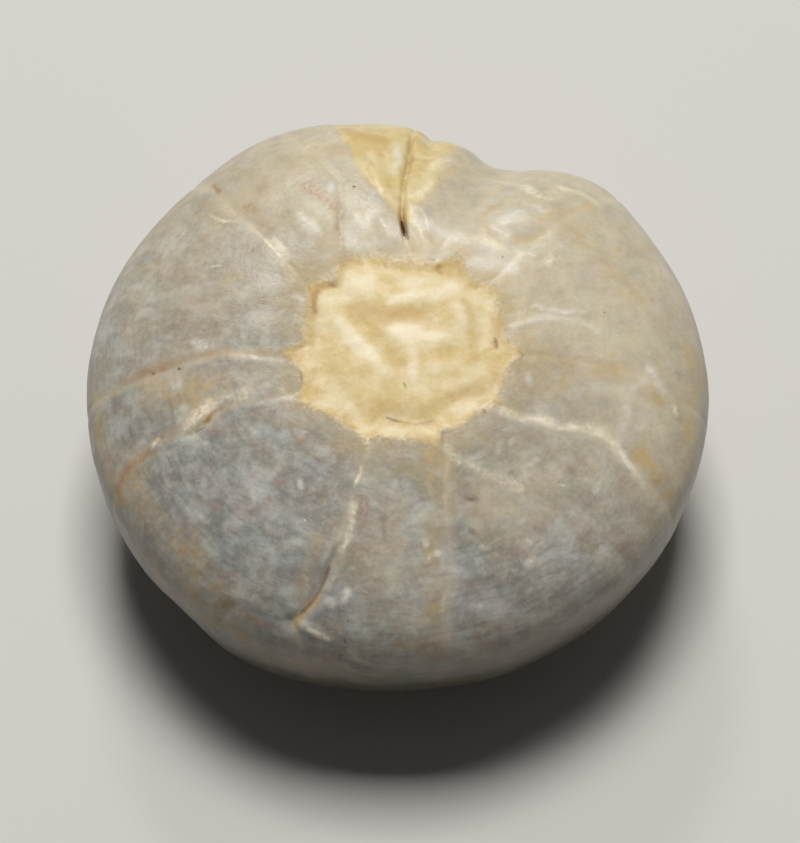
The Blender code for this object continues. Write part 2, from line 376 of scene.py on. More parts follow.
@dataclass(frozen=True)
class Wedge:
    """The yellow wedge behind the mouth that holds the slit, sunk a little below the plates beside it."""

    left: Seam = Seam((
        (53.5, 86.5), (56, 88.4), (57.1, 90), (59.1, 92.2), (61.2, 94.8), (63.7, 97.3),
        (66.4, 99.3), (69.6, 100.5), (72.2, 101.3), (79.4, 102.6), (92, 102), (104, 97), (124, 90),
    ))
    right: Seam = Seam((
        (52.5, 84.2), (56.7, 84.5), (59.6, 83.2), (62, 81), (65.4, 78.5), (68.7, 77),
        (72.6, 75.7), (76, 76), (84, 75), (92, 77), (101, 83), (124, 88),
    ))
    depth: float = 0.07
    lip: float = 0.35
    right_softness: float = 4.2
    start: Pair = (50.0, 54.0)
    fade: Pair = (104.0, 124.0)
    most: float = 3.0

    def inside(self, azimuth: Array, colatitude: Array, radius: Array) -> Array:
        """The distance in millimetres inside the wedge: the smaller of those from its two sides."""
        from_left = -self.left.across(azimuth, colatitude, radius)
        from_right = self.right.across(azimuth, colatitude, radius) / self.right_softness
        beyond = self.most * (ease(colatitude, *self.fade) + 1.0 - ease(colatitude, *self.start))
        return np.clip(np.minimum(from_left, from_right) - beyond, -self.most, self.most)

    def relief(self, azimuth: Array, colatitude: Array, radius: Array) -> Array:
        """A shallow step down within a lip's width of the side."""
        return -self.depth * ease(self.inside(azimuth, colatitude, radius), -0.5 * self.lip, 0.5 * self.lip)


@dataclass(frozen=True)
class FlakeScar:
    """The bowl that a struck flake left low on the side, cut by an ellipsoid."""

    azimuth: float = 224.0
    colatitude: float = 103.0
    bite: float = 0.50
    half_sizes: tuple[float, float, float] = (1.5, 4.6, 3.4)
    tilt: float = 14.0
    ripple: float = 0.012
    ripple_length: float = 0.75
    ripple_start: Pair = (0.02, 0.25)

    def cut(self, points: Array, form: TurnedForm) -> tuple[Array, Array]:
        """Move every point inside the ellipsoid straight in to the ellipsoid's far side.

        The ellipsoid's own axes run along the outward normal, along the side and up it. A
        point is measured in them, in half sizes, and moved inwards by the positive root of
        the quadratic that brings it to unit length. Shallow ripples follow the distance from
        the upper edge, as on any struck flint.

        Args:
            points: the stone's surface.
            form: the turned form that the scar sits on.

        Returns:
            The cut surface, and how deep each point was cut.
        """
        place, outward, _ = form.place(np.array(self.azimuth), np.array(self.colatitude))
        centre = place + outward * (self.half_sizes[0] - self.bite)
        turned = Vector(outward).to_track_quat("X", "Z").to_matrix()
        cosine, sine = math.cos(math.radians(self.tilt)), math.sin(math.radians(self.tilt))
        spin = np.array(turned) @ np.array([[1, 0, 0], [0, cosine, -sine], [0, sine, cosine]])
        sizes = np.array(self.half_sizes)
        inside = (points - centre) @ spin / sizes
        inward = -outward @ spin / sizes
        along = inside @ inward
        steep = inward @ inward
        room = along ** 2 - steep * ((inside ** 2).sum(-1) - 1.0)
        travel = (-along + np.sqrt(np.maximum(room, 0.0))) / steep
        travel = np.where((inside ** 2).sum(-1) < 1.0, travel, 0.0)
        from_top = inside[..., 2] * sizes[2]
        waves = self.ripple * np.sin(2.0 * math.pi * from_top / self.ripple_length)
        travel = travel + waves * ease(travel, *self.ripple_start)
        return points - outward * travel[..., None], travel


# ---------------------------------------------------------------- strokes over the stone


class Kind(Enum):
    """What a stroke is: a change of level or tone, a stain, a painted highlight, or a fine line."""

    RELIEF = "relief"
    TONE = "tone"
    CREAM_AND_HIGHLIGHT = "cream"
    MILK_AND_HIGHLIGHT = "milk"
    RUST = "rust"
    MAUVE = "mauve"
    OCHRE = "ochre"
    SMOKE = "smoke"
    CRACK = "crack"
    PAINTED_GLINT = "painted_glint"


SUMMED = (Kind.RELIEF, Kind.TONE)
FINE = (Kind.CRACK, Kind.PAINTED_GLINT)

# Every stroke in one row: half width in mm, amount, then the colatitude and azimuth of each point.
# The amount is a height in mm for relief and a strength for everything else.
STROKES: dict[Kind, tuple[Numbers, ...]] = {
    Kind.RELIEF: (
        (0.13, -0.05, 86.6, 259.7, 88.1, 261.9, 89.5, 265.4), (0.21, 0.07, 90.2, 262, 92.5, 265),
        (0.5, 0.07, 28.3, 162, 21, 184, 18.3, 226, 22.5, 257),
        (0.38, -0.05, 21.2, 153, 11.9, 179, 11, 247, 17.1, 274),
        (0.5, 0.05, 35.7, 124, 28.8, 111, 23.8, 88, 27.1, 66), (0.46, -0.05, 23.3, 138, 13, 109, 16.9, 58),
        (0.5, 0.05, 2.7, 66, 9.3, 8), (0.46, 0.05, 18.1, 6, 23.8, 359), (0.38, 0.05, 9.5, 323, 23, 288),
        (0.46, 0.04, 27.2, 321, 29.7, 329), (0.5, 0.05, 28.8, 56, 33.9, 52, 38.3, 48),
        (0.46, 0.05, 32.3, 40, 34.4, 25), (0.5, -0.05, 37.4, 15, 36, 356, 36.7, 341),
        (0.46, -0.03, 18.4, 329, 22.2, 307), (0.5, -0.03, 28.8, 4, 31.2, 345),
        (0.5, 0.03, 34.4, 259, 36.4, 270, 37.5, 286), (0.46, 0.04, 38.9, 146, 33.4, 160),
        (0.5, -0.03, 35.2, 190, 37, 209), (0.5, 0.03, 39.3, 237, 40.2, 249),
        (0.29, -0.04, 43.5, 256, 41.6, 264, 42.6, 271, 44.2, 282, 44.1, 290, 42.6, 299, 41, 307, 41.4, 314,
            45.9, 319), (0.46, 0.03, 46.2, 260, 46.9, 274, 47.3, 288),
        (0.38, 0.03, 45, 306, 46.5, 313, 49.2, 318), (0.29, 0.03, 43, 237, 42.8, 231),
        (0.29, -0.03, 45.9, 61, 45.4, 56), (0.5, 0.12, 77.1, 102, 75.9, 96), (0.42, 0.12, 69.6, 97, 63.6, 94),
        (0.38, 0.14, 63.8, 82, 68.6, 79), (0.42, 0.12, 71.9, 82, 74.1, 78), (0.29, -0.09, 73.7, 86, 67.3, 87),
        (0.5, 0.12, 62.9, 53, 65.4, 48), (0.34, -0.1, 65.9, 62, 68, 57, 68.3, 48),
        (0.38, -0.09, 60, 44, 65.1, 41), (0.42, 0.09, 55.8, 55, 56.9, 46), (0.42, 0.09, 74.4, 50, 75.7, 42),
        (0.59, -0.09, 70, 135, 65.1, 135), (0.5, 0.09, 62.7, 124, 56.3, 122),
        (0.38, 0.08, 57.6, 106, 52.8, 104), (0.34, -0.07, 74.7, 86, 68.8, 87),
        (0.46, 0.16, 54.9, 96, 49.5, 93), (0.34, -0.1, 59.6, 90, 56.3, 87),
        (0.25, 0.1, 59.8, 82, 57.5, 79, 52.9, 76), (0.25, 0.08, 52.3, 83, 48.4, 79),
        (0.25, -0.05, 55.4, 81, 51.4, 78), (0.38, -0.09, 70, 93, 64.3, 91), (0.5, 0.08, 74.4, 82, 71.5, 78),
        (0.29, 0.07, 64.8, 54, 66.7, 51), (0.21, -0.06, 63.5, 60, 60.6, 55, 60.4, 50),
        (0.25, -0.06, 61.3, 44, 64.6, 41), (0.13, 0.05, 59.8, 41.8, 60.1, 38.2, 61.5, 35.5),
        (0.21, 0.05, 62.8, 31, 65.3, 34), (0.13, 0.05, 56, 15.1, 58.5, 12.4, 61.2, 10.5, 63.5, 11.3),
        (0.17, 0.04, 48.6, 6, 53.3, 8, 56.7, 9, 60.7, 8, 65.1, 5), (0.25, -0.05, 50.8, 22, 51.2, 16),
        (0.17, 0.06, 63.1, 202, 65.6, 204, 68.1, 204, 70.2, 205),
        (0.13, -0.09, 66.8, 205.8, 69, 206.4, 70.3, 206.5), (0.17, 0.05, 71.7, 204, 73.6, 203, 75.5, 204),
        (0.25, -0.04, 71.7, 186, 74.6, 186, 77.2, 187),
        (0.19, -0.1, 71.3, 256, 74.5, 255, 76.8, 254, 78.8, 253, 80.7, 252, 82.1, 250),
        (0.13, -0.07, 69.5, 257.5, 71, 256.1), (0.21, 0.08, 76.5, 256, 78.4, 256, 79.9, 255),
        (0.25, 0.06, 77.1, 260, 78.1, 258), (0.19, 0.11, 82.4, 253, 82.8, 255, 83.5, 258),
        (0.38, 0.08, 82.2, 238, 81.6, 242), (0.34, 0.08, 84.2, 250, 85.6, 252),
        (0.17, -0.08, 82.3, 250, 83.6, 252, 86.3, 252), (0.13, -0.07, 83.5, 260.4, 85.2, 260.7, 87.7, 259.7),
        (0.13, -0.06, 72.3, 259.5, 74.3, 258.6), (0.17, 0.08, 81.7, 243, 81.5, 246, 81.6, 247),
        (0.21, -0.12, 83.5, 239, 85.9, 238, 87.7, 237), (0.21, -0.05, 76.1, 245, 76.9, 249),
        (0.17, 0.05, 74, 355, 75, 354, 76, 353), (0.17, 0.06, 77.7, 358, 77.7, 357),
        (0.13, 0.06, 78.3, 348.6, 79.1, 347.3), (0.21, -0.05, 75.7, 350, 76.7, 348),
        (0.21, 0.05, 66.6, 333, 67.6, 333),
        (0.13, 0.04, 53.4, 322.1, 56.5, 323.9, 60.1, 325, 63.7, 326.6, 66.8, 330.6, 70.1, 332.4, 72.3, 332.6,
            74.4, 330.6, 76.8, 329.1), (0.17, 0.05, 74.1, 64, 72.6, 59, 72.7, 53, 74.4, 50),
        (0.13, -0.05, 71.5, 61.6, 70.3, 53.6, 71.2, 49.3), (0.17, 0.05, 76.2, 110, 76.7, 106, 77.2, 101),
        (0.13, -0.04, 74.6, 112, 74.7, 106.8, 74.7, 102.1),
    ),
    # Tone strokes, partly the stone's own tone: the lighter arc behind the mouth is painted sheen, the darker
    # ring round the mouth's near side painted shade.
    Kind.TONE: (
        (1.43, -0.26, 59.3, 264, 69.1, 267, 75.6, 270), (1.43, -0.22, 66, 296, 68.7, 306),
        (1.26, 0.25, 43.8, 178, 49.8, 198, 52.8, 223, 52.6, 244, 53.5, 271, 54.3, 292, 53.7, 312, 53.2, 330,
            53.9, 344), (1.59, -0.5, 52.5, 102, 47, 89, 47.6, 67, 52.2, 45, 60.9, 47),
        (1.59, -0.2, 67.2, 6, 71.2, 351, 74, 339), (1.89, 0.25, 72.7, 214, 75.1, 226, 78.4, 242),
        (1.43, -0.2, 74.5, 106, 71.9, 115, 68.5, 127), (1.68, 0.15, 72.9, 286, 78.7, 294, 77.5, 304),
    ),
    # Cream: pale seams and stains, and painted highlights on the chalk's ridges in the mouth.
    Kind.CREAM_AND_HIGHLIGHT: (
        (0.25, 0.45, 81.8, 252, 82.6, 255, 83.1, 257), (0.17, 0.6, 85.6, 262, 87.2, 264),
        (0.38, 0.95, 29.9, 160, 23.9, 174, 18.7, 206, 19.7, 238, 23, 257), (0.5, 0.7, 37.6, 126, 36.5, 113),
        (0.34, 0.7, 22.5, 93, 28, 64), (0.46, 0.95, 31.3, 53, 38.9, 47), (0.5, 0.95, 2.5, 27, 9.8, 8),
        (0.38, 0.85, 18, 358, 24.7, 1), (0.34, 0.7, 8.8, 329, 25.5, 287), (0.38, 0.6, 26.2, 319, 31.4, 331),
        (0.34, 0.7, 34.2, 31, 35.1, 18), (0.34, 0.55, 43, 237, 44.4, 246, 46.5, 253),
        (0.34, 0.5, 45.8, 270, 47.4, 287), (0.29, 0.6, 45.4, 308, 47.9, 316, 49.6, 320),
        (0.38, 0.5, 33, 80, 37.5, 63), (0.29, 0.5, 40.6, 146, 34.3, 139),
        (0.59, 0.4, 26.9, 250, 28, 272, 27.4, 294), (0.15, 0.9, 51, 257, 52.5, 257),
        (0.07, 0.8, 55.8, 255.5, 58.4, 256.3, 61.3, 255.9, 62.7, 256.3),
        (0.21, 0.52, 64, 257, 67.2, 258, 69.3, 258, 71.1, 257), (0.11, 0.8, 57, 205, 61.7, 203.8),
        (0.34, 0.55, 58.6, 204, 62.1, 202, 65.2, 202, 68, 203, 70.2, 204),
        (0.13, 0.7, 70.3, 204.4, 71.2, 205.7), (0.13, 0.7, 74.7, 203.1, 75.5, 203.6),
        (0.13, 0.6, 76.7, 172.3, 75.4, 173.7), (0.21, 0.55, 52.9, 322, 56.5, 324, 59.6, 326, 62.3, 328),
        (0.21, 0.5, 64.2, 328, 67, 332, 70.3, 333, 72.2, 333),
        (0.17, 0.5, 72.2, 333, 74.4, 331, 76.2, 330, 78.2, 328),
        (0.29, 0.75, 65.9, 331, 67.8, 333, 69.2, 333), (0.21, 1, 59.3, 327, 61.7, 329),
        (0.13, 1, 78.3, 348.8, 78.9, 347.4),
        (0.29, 0.42, 54, 291, 57.1, 294, 61.2, 300, 63.8, 304, 66.6, 306),
        (0.13, 0.25, 56.6, 288.4, 63.7, 284.5, 72.3, 280.8, 78.7, 279.1, 84.2, 278.3),
        (0.13, 0.6, 71.9, 277.6, 71.4, 280.3), (0.17, 0.6, 61.5, 136, 58.5, 137, 56.2, 138),
        (0.1, 0.5, 65.8, 137.3, 61.3, 137.9, 51.6, 141.5), (0.13, 0.5, 73.3, 139.5, 70.6, 138.6, 68.8, 137.3),
        (0.25, 0.48, 72.8, 57, 71.7, 53), (0.25, 0.45, 74.8, 65, 72.9, 60, 71.3, 52, 72, 48),
        (0.29, 0.65, 56.8, 54, 57.5, 50, 57.5, 45), (0.17, 0.6, 66.1, 35, 64.2, 32, 62.1, 31),
        (0.25, 0.5, 74.9, 50, 76.3, 45, 76.6, 41), (0.29, 0.5, 58.6, 83, 53.1, 79, 47.6, 78),
        (0.38, 0.5, 68.6, 83, 71.7, 79, 74.1, 77), (0.29, 0.6, 62.7, 95, 60.2, 91),
        (0.29, 0.55, 62.1, 85, 64.1, 81, 66.7, 80), (0.25, 0.5, 71.8, 96, 69.1, 95),
        (0.25, 0.45, 51.7, 208, 51, 214),
    ),
    # Milk: milky veins and patches, and some painted highlights and glints.
    Kind.MILK_AND_HIGHLIGHT: (
        (0.55, 0.62, 51.6, 112, 49.3, 100, 49.6, 89), (0.5, 0.62, 50.1, 49, 54.3, 42, 55.4, 35),
        (0.38, 0.5, 54.6, 58, 55.7, 49), (0.29, 0.45, 53.7, 321, 63.6, 329, 71, 333, 76.2, 330),
        (0.34, 0.5, 46.6, 76, 49.3, 64), (0.21, 0.8, 74.2, 90, 70.6, 90, 67.3, 91),
        (0.42, 0.65, 55.4, 106, 56.3, 99, 53.1, 94), (0.38, 0.7, 55.5, 79, 54.9, 72, 54.8, 65),
        (0.29, 0.8, 50, 101, 47.7, 95), (0.38, 0.8, 62.9, 53, 66, 51),
        (0.38, 0.6, 49.1, 51, 53.3, 46, 55.2, 40), (0.38, 0.5, 60.7, 124, 55.1, 127),
        (0.1, 0.85, 76.3, 110.2, 76.5, 107.6, 76.8, 104.6), (0.38, 0.7, 54.9, 96, 49.5, 93),
        (0.5, 0.5, 52, 105, 48.1, 97), (0.21, 0.7, 66.3, 109, 64.9, 110), (0.21, 0.6, 47.7, 154, 45.1, 155),
        (0.17, 0.9, 60.7, 176, 60.4, 177), (0.13, 0.6, 63.9, 182.2, 64.9, 179.1),
        (0.17, 0.6, 66.2, 179, 65.6, 181), (0.17, 0.6, 54.6, 202, 54, 204),
        (0.13, 0.7, 51.6, 211.5, 51.4, 213.4), (0.17, 0.6, 60.1, 201, 58.9, 201),
        (0.15, 0.7, 63.9, 240, 64.3, 241), (0.17, 0.5, 67.7, 224, 64.6, 219),
        (0.21, 0.75, 77.7, 256, 78.2, 257), (0.21, 0.75, 76.4, 259, 77.5, 259),
        (0.13, 0.9, 82.5, 253.5, 82.7, 254.8, 83.2, 257.5), (0.15, 0.6, 74.1, 241, 74.5, 242),
        (0.17, 0.7, 69.4, 277, 69.8, 277), (0.13, 0.7, 71.5, 290.5, 71.8, 290.8),
        (0.13, 0.7, 73.2, 300.3, 73.5, 300.8), (0.17, 0.6, 55.9, 15, 58.5, 12, 61.3, 11, 64.3, 11),
        (0.29, 0.5, 46.8, 3, 50.7, 6, 53.5, 8, 58.2, 9, 62.5, 8, 65.4, 5),
        (0.13, 0.6, 66.1, 356.2, 66.9, 356.1), (0.17, 0.6, 60.2, 327, 61.4, 329),
        (0.25, 0.5, 72, 334, 71.6, 341, 71.7, 346, 72.4, 350, 73.7, 354),
        (0.38, 0.55, 73.9, 355, 74.9, 353, 75.7, 352), (0.42, 0.35, 62.8, 346, 66.8, 346, 69.9, 346),
        (0.11, 0.8, 59.4, 43.1, 60.1, 40.3, 61.1, 36.6), (0.13, 0.6, 67.1, 51.2, 67.8, 48.8),
    ),
    Kind.RUST: (
        (0.17, 0.7, 84.9, 236, 83.3, 238), (0.13, 0.6, 83.5, 241.3, 83.9, 245, 83.5, 248.4),
        (0.13, 0.6, 83.8, 259.6, 86.6, 260.8), (0.17, 0.6, 45.2, 142, 42.7, 138, 41.3, 134),
        (0.17, 0.7, 43.8, 144, 41.8, 152, 40.2, 159),
        (0.11, 0.75, 41.5, 261.2, 42.6, 271.2, 44.2, 281.5, 44.6, 290.7),
        (0.13, 1.3, 43.5, 359.7, 44.5, 355.1), (0.09, 0.9, 45.7, 26.2, 45, 17.2),
        (0.09, 1.2, 48.9, 315.1, 49.7, 314.8), (0.07, 1.1, 28.6, 276, 30.1, 277.6),
        (0.21, 0.62, 70.5, 186, 72.5, 186, 73.9, 186, 75.8, 186),
        (0.13, 0.5, 75.7, 186.4, 77.4, 187, 79.1, 188.2, 80.1, 189.1),
        (0.08, 0.9, 62.1, 207.3, 63.6, 204.9, 65.5, 205.1, 67.6, 206.1),
        (0.13, 0.7, 75.9, 204, 77.7, 204.4, 79.5, 205.2), (0.25, 0.48, 77.4, 204, 80.6, 205, 84.1, 207),
        (0.11, 0.65, 72.6, 258.7, 73.3, 257.1), (0.09, 0.8, 81.7, 248.1, 81.9, 248.4),
        (0.1, 0.6, 70.5, 261.3, 69.8, 261.6), (0.38, 0.5, 70, 132, 66, 134, 63.6, 134),
        (0.38, 0.46, 67.3, 116, 64.4, 114, 61.1, 113), (0.17, 0.9, 78, 132, 75.8, 133),
        (0.13, 0.7, 45, 64.1, 43.2, 65.1, 42.2, 60), (0.13, 0.6, 41.1, 97.1, 39.7, 95.4),
        (0.13, 0.6, 84.6, 4.7, 88, 5.5), (0.15, 0.6, 76.7, 86, 73.2, 87, 68.2, 88, 63.3, 89),
        (0.21, 0.6, 59.4, 89, 55.1, 87), (0.17, 0.5, 73.8, 255, 76.2, 254, 78.4, 253, 80.9, 252),
        (0.25, 0.45, 59.9, 351, 62.2, 351),
    ),
    Kind.MAUVE: (
        (0.25, 0.4, 61.4, 185, 65.6, 185, 68.2, 185, 71.6, 186, 76.2, 187, 80.5, 188),
        (0.25, 0.55, 65.1, 202, 69.5, 204, 71.7, 204, 73.6, 203, 77.9, 204, 83.2, 206),
        (0.29, 0.5, 62.7, 258, 68, 261, 70.9, 260), (0.17, 0.6, 62.6, 260, 65.2, 262, 67.1, 261),
        (0.13, 0.6, 69.1, 261.2, 70.6, 261.4), (0.15, 0.45, 72.8, 260, 74.6, 260, 76.1, 260),
        (0.25, 0.6, 76.9, 248, 76.8, 250), (0.13, 0.65, 73.4, 249.1, 73.3, 250),
        (0.17, 0.6, 68.8, 235, 69, 236), (0.17, 0.7, 73.2, 224, 73.5, 225), (0.17, 0.6, 65.2, 236, 66.1, 235),
        (0.13, 0.8, 67.4, 216.2, 67.7, 218.2), (0.13, 0.8, 64.7, 291.3, 65.1, 292.6),
        (0.13, 0.65, 68.9, 289.3, 69.4, 290.1), (0.25, 0.45, 59.4, 353, 64.7, 354, 68.1, 354),
        (0.21, 0.45, 46.6, 121, 56.8, 113, 63.6, 108),
    ),
    Kind.OCHRE: (
        (0.59, 0.5, 85.7, 214, 88.2, 219, 90.5, 225, 90.1, 232, 89.7, 238),
        (0.5, 0.4, 89.7, 238, 91.7, 245, 94, 252), (0.42, 0.4, 70.7, 251, 77, 250, 80.6, 251),
        (0.63, 0.5, 57.9, 340, 63.2, 350, 68.6, 353), (0.38, 0.62, 74.1, 352, 76.2, 348),
        (0.15, 0.75, 62.6, 60, 65.9, 62, 67.7, 59), (0.15, 0.55, 60.9, 59, 58.3, 52, 59.2, 46),
        (0.17, 0.55, 69.4, 44, 72.7, 43, 75.2, 42), (0.17, 0.6, 51.4, 85, 42, 82),
        (0.34, 0.55, 76.5, 96, 72.4, 91), (1.01, 0.52, 73.3, 190, 66.9, 198, 57.8, 198),
        (1.09, 0.3, 80, 205, 81.5, 216, 81.5, 230),
        (0.42, 0.36, 52.2, 188, 62.3, 186, 68.2, 185, 73.1, 186, 79.7, 186),
        (0.34, 0.36, 61.9, 204, 67.6, 206, 71.9, 204, 76.2, 205),
        (0.67, 0.4, 82.3, 183, 83.5, 193, 83.5, 202, 83.7, 208),
        (0.75, 0.5, 81.5, 4, 82, 353, 82.8, 342, 83.7, 332), (0.84, 0.35, 73.5, 14, 71.3, 30, 69.6, 43),
        (0.92, 0.3, 73.3, 106, 72.1, 126, 71.6, 140),
        (0.84, 0.55, 85.5, 227, 88.9, 239, 90.9, 252, 92.6, 265),
        (0.5, 0.75, 29.7, 141, 20.2, 137, 11.8, 98, 20.2, 45), (0.34, 0.8, 44.1, 145, 41.3, 161, 40.4, 176),
        (0.34, 0.9, 47.6, 189, 44.3, 190), (0.42, 0.7, 37.9, 18, 37.1, 359, 37.3, 340),
        (0.42, 0.7, 46.6, 345, 46.3, 334, 43.4, 325, 40.4, 311), (0.5, 0.5, 36.4, 184, 35.6, 204, 34.6, 223),
        (0.38, 0.8, 44.1, 65, 45, 55, 43.4, 47), (0.34, 0.6, 37.6, 33, 37.9, 18),
        (0.34, 0.6, 45.8, 124, 44.9, 117), (0.29, 0.8, 48.7, 283, 50.9, 288),
        (0.21, 0.7, 43.4, 257, 43.7, 271, 44.6, 281, 44.8, 292), (0.42, 0.4, 38, 234, 36.8, 260, 37.9, 286),
        (0.25, 0.8, 49.7, 352, 46.4, 349), (0.42, 0.45, 12, 170, 10.6, 252, 15.9, 270),
        (0.29, 0.6, 46.8, 214, 43.1, 205), (0.29, 0.9, 44.4, 13, 44.8, 3), (0.5, 0.3, 25.6, 32, 26.9, 10),
        (0.42, 0.95, 78.3, 101, 75.7, 98, 75, 94), (0.34, 0.5, 72, 99, 68.2, 97),
        (0.29, 0.45, 63.8, 92, 59.9, 89, 56.5, 88), (0.25, 0.6, 78, 87, 76.5, 85, 75.7, 81),
        (0.38, 0.6, 60.9, 44, 63.8, 42, 65.7, 41), (0.25, 0.6, 60.4, 58, 63.2, 61, 66.1, 60),
        (0.42, 0.5, 67, 46, 71.1, 43, 74.5, 41), (0.34, 0.45, 70.3, 44, 72.4, 42, 73.8, 41),
        (0.13, 1, 74, 28.7, 74.4, 27.9), (0.42, 0.3, 69.2, 0, 72.1, 1), (0.34, 0.45, 58.9, 339, 61, 342),
        (0.5, 0.7, 75.9, 334, 78.9, 332), (0.34, 0.45, 82.4, 332, 82.3, 326, 81.8, 322),
        (0.29, 0.45, 53.2, 282, 55.3, 281), (0.63, 0.4, 54.5, 285, 63.4, 281, 72.1, 278, 79.9, 277, 85, 277),
        (0.21, 0.5, 81.7, 277, 83.7, 274, 84.5, 270), (0.21, 1, 77.9, 254, 80, 252, 81.8, 251),
        (0.34, 0.4, 84.4, 243, 82.2, 236, 83.2, 228), (0.34, 0.5, 86.5, 234, 85.8, 230, 84.9, 227),
        (0.21, 0.6, 83.4, 239, 84.7, 239), (0.17, 0.6, 87.3, 237, 89, 236), (0.42, 0.3, 62.8, 150, 62.5, 156),
        (0.42, 0.3, 71.8, 145, 71.5, 150), (0.38, 0.3, 88.1, 254, 90.7, 260, 90.8, 267),
    ),
    Kind.SMOKE: (
        (0.21, 0.9, 71.5, 256, 73.8, 255, 75.8, 254), (0.13, 0.6, 66.9, 238.3, 66.7, 241.8, 65.6, 247.6),
        (0.1, 0.5, 65.3, 241, 64.4, 246, 64.1, 250.2), (0.25, 0.6, 76.1, 245, 76.5, 247),
        (0.15, 0.7, 64.6, 291, 65.3, 293), (0.15, 0.6, 68.9, 289, 69.5, 290),
        (0.21, 0.6, 76.9, 291, 77.8, 291), (0.25, 0.45, 61.6, 318, 62.9, 319),
        (0.25, 0.5, 54.4, 232, 53.7, 237), (0.42, 0.3, 70.7, 68, 65.2, 67), (0.17, 0.5, 65.3, 266, 69.1, 267),
    ),
    Kind.CRACK: (
        (0.07, 0.55, 41.6, 264.4, 42.6, 270.6), (0.06, 0.26, 42.6, 270.6, 44.1, 281.5, 44.2, 289.8),
        (0.08, 0.55, 44, 359.8, 44.5, 356.5), (0.06, 0.35, 45.2, 202.5, 46, 206.9),
        (0.09, 1, 68.7, 187, 68.4, 187.5), (0.07, 0.9, 64.7, 103.3, 64.5, 103.1),
        (0.06, 1.15, 57.1, 88.2, 55.9, 87.8, 53.7, 86.5), (0.05, 0.4, 53.9, 86.5, 49.7, 84.1),
        (0.08, 0.45, 73.8, 255, 76.5, 254.4, 78.6, 253.3, 80.4, 251.9), (0.06, 0.4, 67.8, 206.5, 69, 206.4),
        (0.08, 0.8, 83.5, 260.6, 83.8, 260.8), (0.07, 0.25, 88, 259.6, 87, 260.1),
        (0.06, 0.3, 80.1, 260.6, 80.3, 261), (0.06, 0.6, 55.9, 42.9, 55.9, 42.3),
        (0.06, 0.5, 68.1, 78.2, 68, 77.9), (0.07, 0.6, 73.9, 185.9, 73.8, 186.2),
        (0.08, 0.6, 72.5, 186.2, 72.4, 186.4), (0.08, 0.4, 73.4, 203.2, 73.4, 203.5),
        (0.08, 0.3, 67.5, 216.5, 67.6, 217.5), (0.05, 0.5, 48.4, 260.6, 48.7, 261.2),
        (0.06, 0.3, 64.7, 291.3, 65, 292), (0.06, 0.4, 67.6, 10.5, 67.7, 10.2),
        (0.05, 0.5, 72.3, 175.1, 72.2, 175.4), (0.04, 0.5, 69.6, 215.7, 69.5, 216.1),
    ),
    # Painted glints: tiny bright dots standing for highlights on small crystal faces.
    Kind.PAINTED_GLINT: (
        (0.06, 1, 68.7, 245.7, 68.7, 246), (0.06, 1, 70.9, 264.9, 70.9, 265),
        (0.06, 1, 39, 325.3, 39.2, 325.2), (0.05, 0.9, 71.5, 290.6, 71.4, 291),
        (0.05, 0.9, 76.4, 308.6, 76.6, 308.7), (0.05, 0.8, 74.4, 307.5, 74.6, 307.6),
        (0.06, 0.8, 69.7, 315.2, 70.1, 315.6), (0.05, 0.9, 56.4, 13.9, 57, 13.3),
        (0.06, 1, 60.7, 11, 61.3, 10.9), (0.06, 0.9, 60.6, 38.2, 61.1, 36), (0.05, 0.9, 53.5, 96.1, 52.6, 94),
        (0.05, 0.7, 50.7, 91.9, 50.1, 91), (0.06, 0.8, 60.6, 137.2, 59.3, 137.6),
        (0.05, 0.7, 67.3, 153.5, 66, 152.3), (0.05, 0.7, 56.4, 76, 55.9, 75.4),
        (0.05, 0.7, 43.5, 71.1, 44.3, 68.5), (0.06, 0.8, 82.4, 253.6, 82.6, 254.6),
        (0.05, 0.7, 71.6, 279.5, 71.4, 280.1), (0.06, 0.7, 70.4, 204.2, 70.2, 204.7),
        (0.05, 0.7, 60.7, 175.9, 60.5, 176.3), (0.05, 0.6, 66.3, 356.1, 66.8, 356.1),
        (0.05, 0.6, 74.2, 330.6, 75.3, 330), (0.05, 0.6, 78.2, 348.1, 78.4, 347.8),
    ),
}


@dataclass(frozen=True)
class Stroke:
    """One brush stroke over the stone: a path on the turned form with a width and an amount."""

    half_width: float
    amount: float
    run: Run

    def path(self, form: TurnedForm) -> Array:
        """The points of the path in millimetres, on the turned form."""
        run = np.array(self.run, dtype=float)
        return form.place(run[:, 1], run[:, 0])[0]

    def measure(self, points: Array, form: TurnedForm) -> tuple[Array, Array]:
        """Measure how far every point lies from the path.

        On each straight stretch the nearest place is found by the share of the way along,
        held between 0 and 1. The side is the sign of the triple product of the stretch, the
        way to the point, and the outward direction.

        Args:
            points: places on the stone.
            form: the turned form that carries the path.

        Returns:
            The distance, and the same with a sign for the side it lies on, both in half widths.
        """
        path = self.path(form)
        best = np.full(points.shape[:-1], np.inf)
        side = np.ones(points.shape[:-1])
        for start, end in zip(path[:-1], path[1:]):
            stretch = end - start
            away = points - start
            share = np.clip(away @ stretch / (stretch @ stretch), 0.0, 1.0)
            gap = np.linalg.norm(away - share[..., None] * stretch, axis=-1)
            closer = gap < best
            best = np.where(closer, gap, best)
            facing = away @ np.cross((start + end) / 2.0, stretch)
            side = np.where(closer, np.where(facing < 0.0, -1.0, 1.0), side)
        if np.linalg.norm(path[-1] - path[0]) < 2.0 * self.half_width:
            side = np.ones_like(side)
        return best / self.half_width, side * best / self.half_width


def strokes(kind: Kind) -> list[Stroke]:
    """Every stroke of one kind."""
    return [Stroke(width, amount, tuple(zip(run[::2], run[1::2]))) for width, amount, *run in STROKES[kind]]


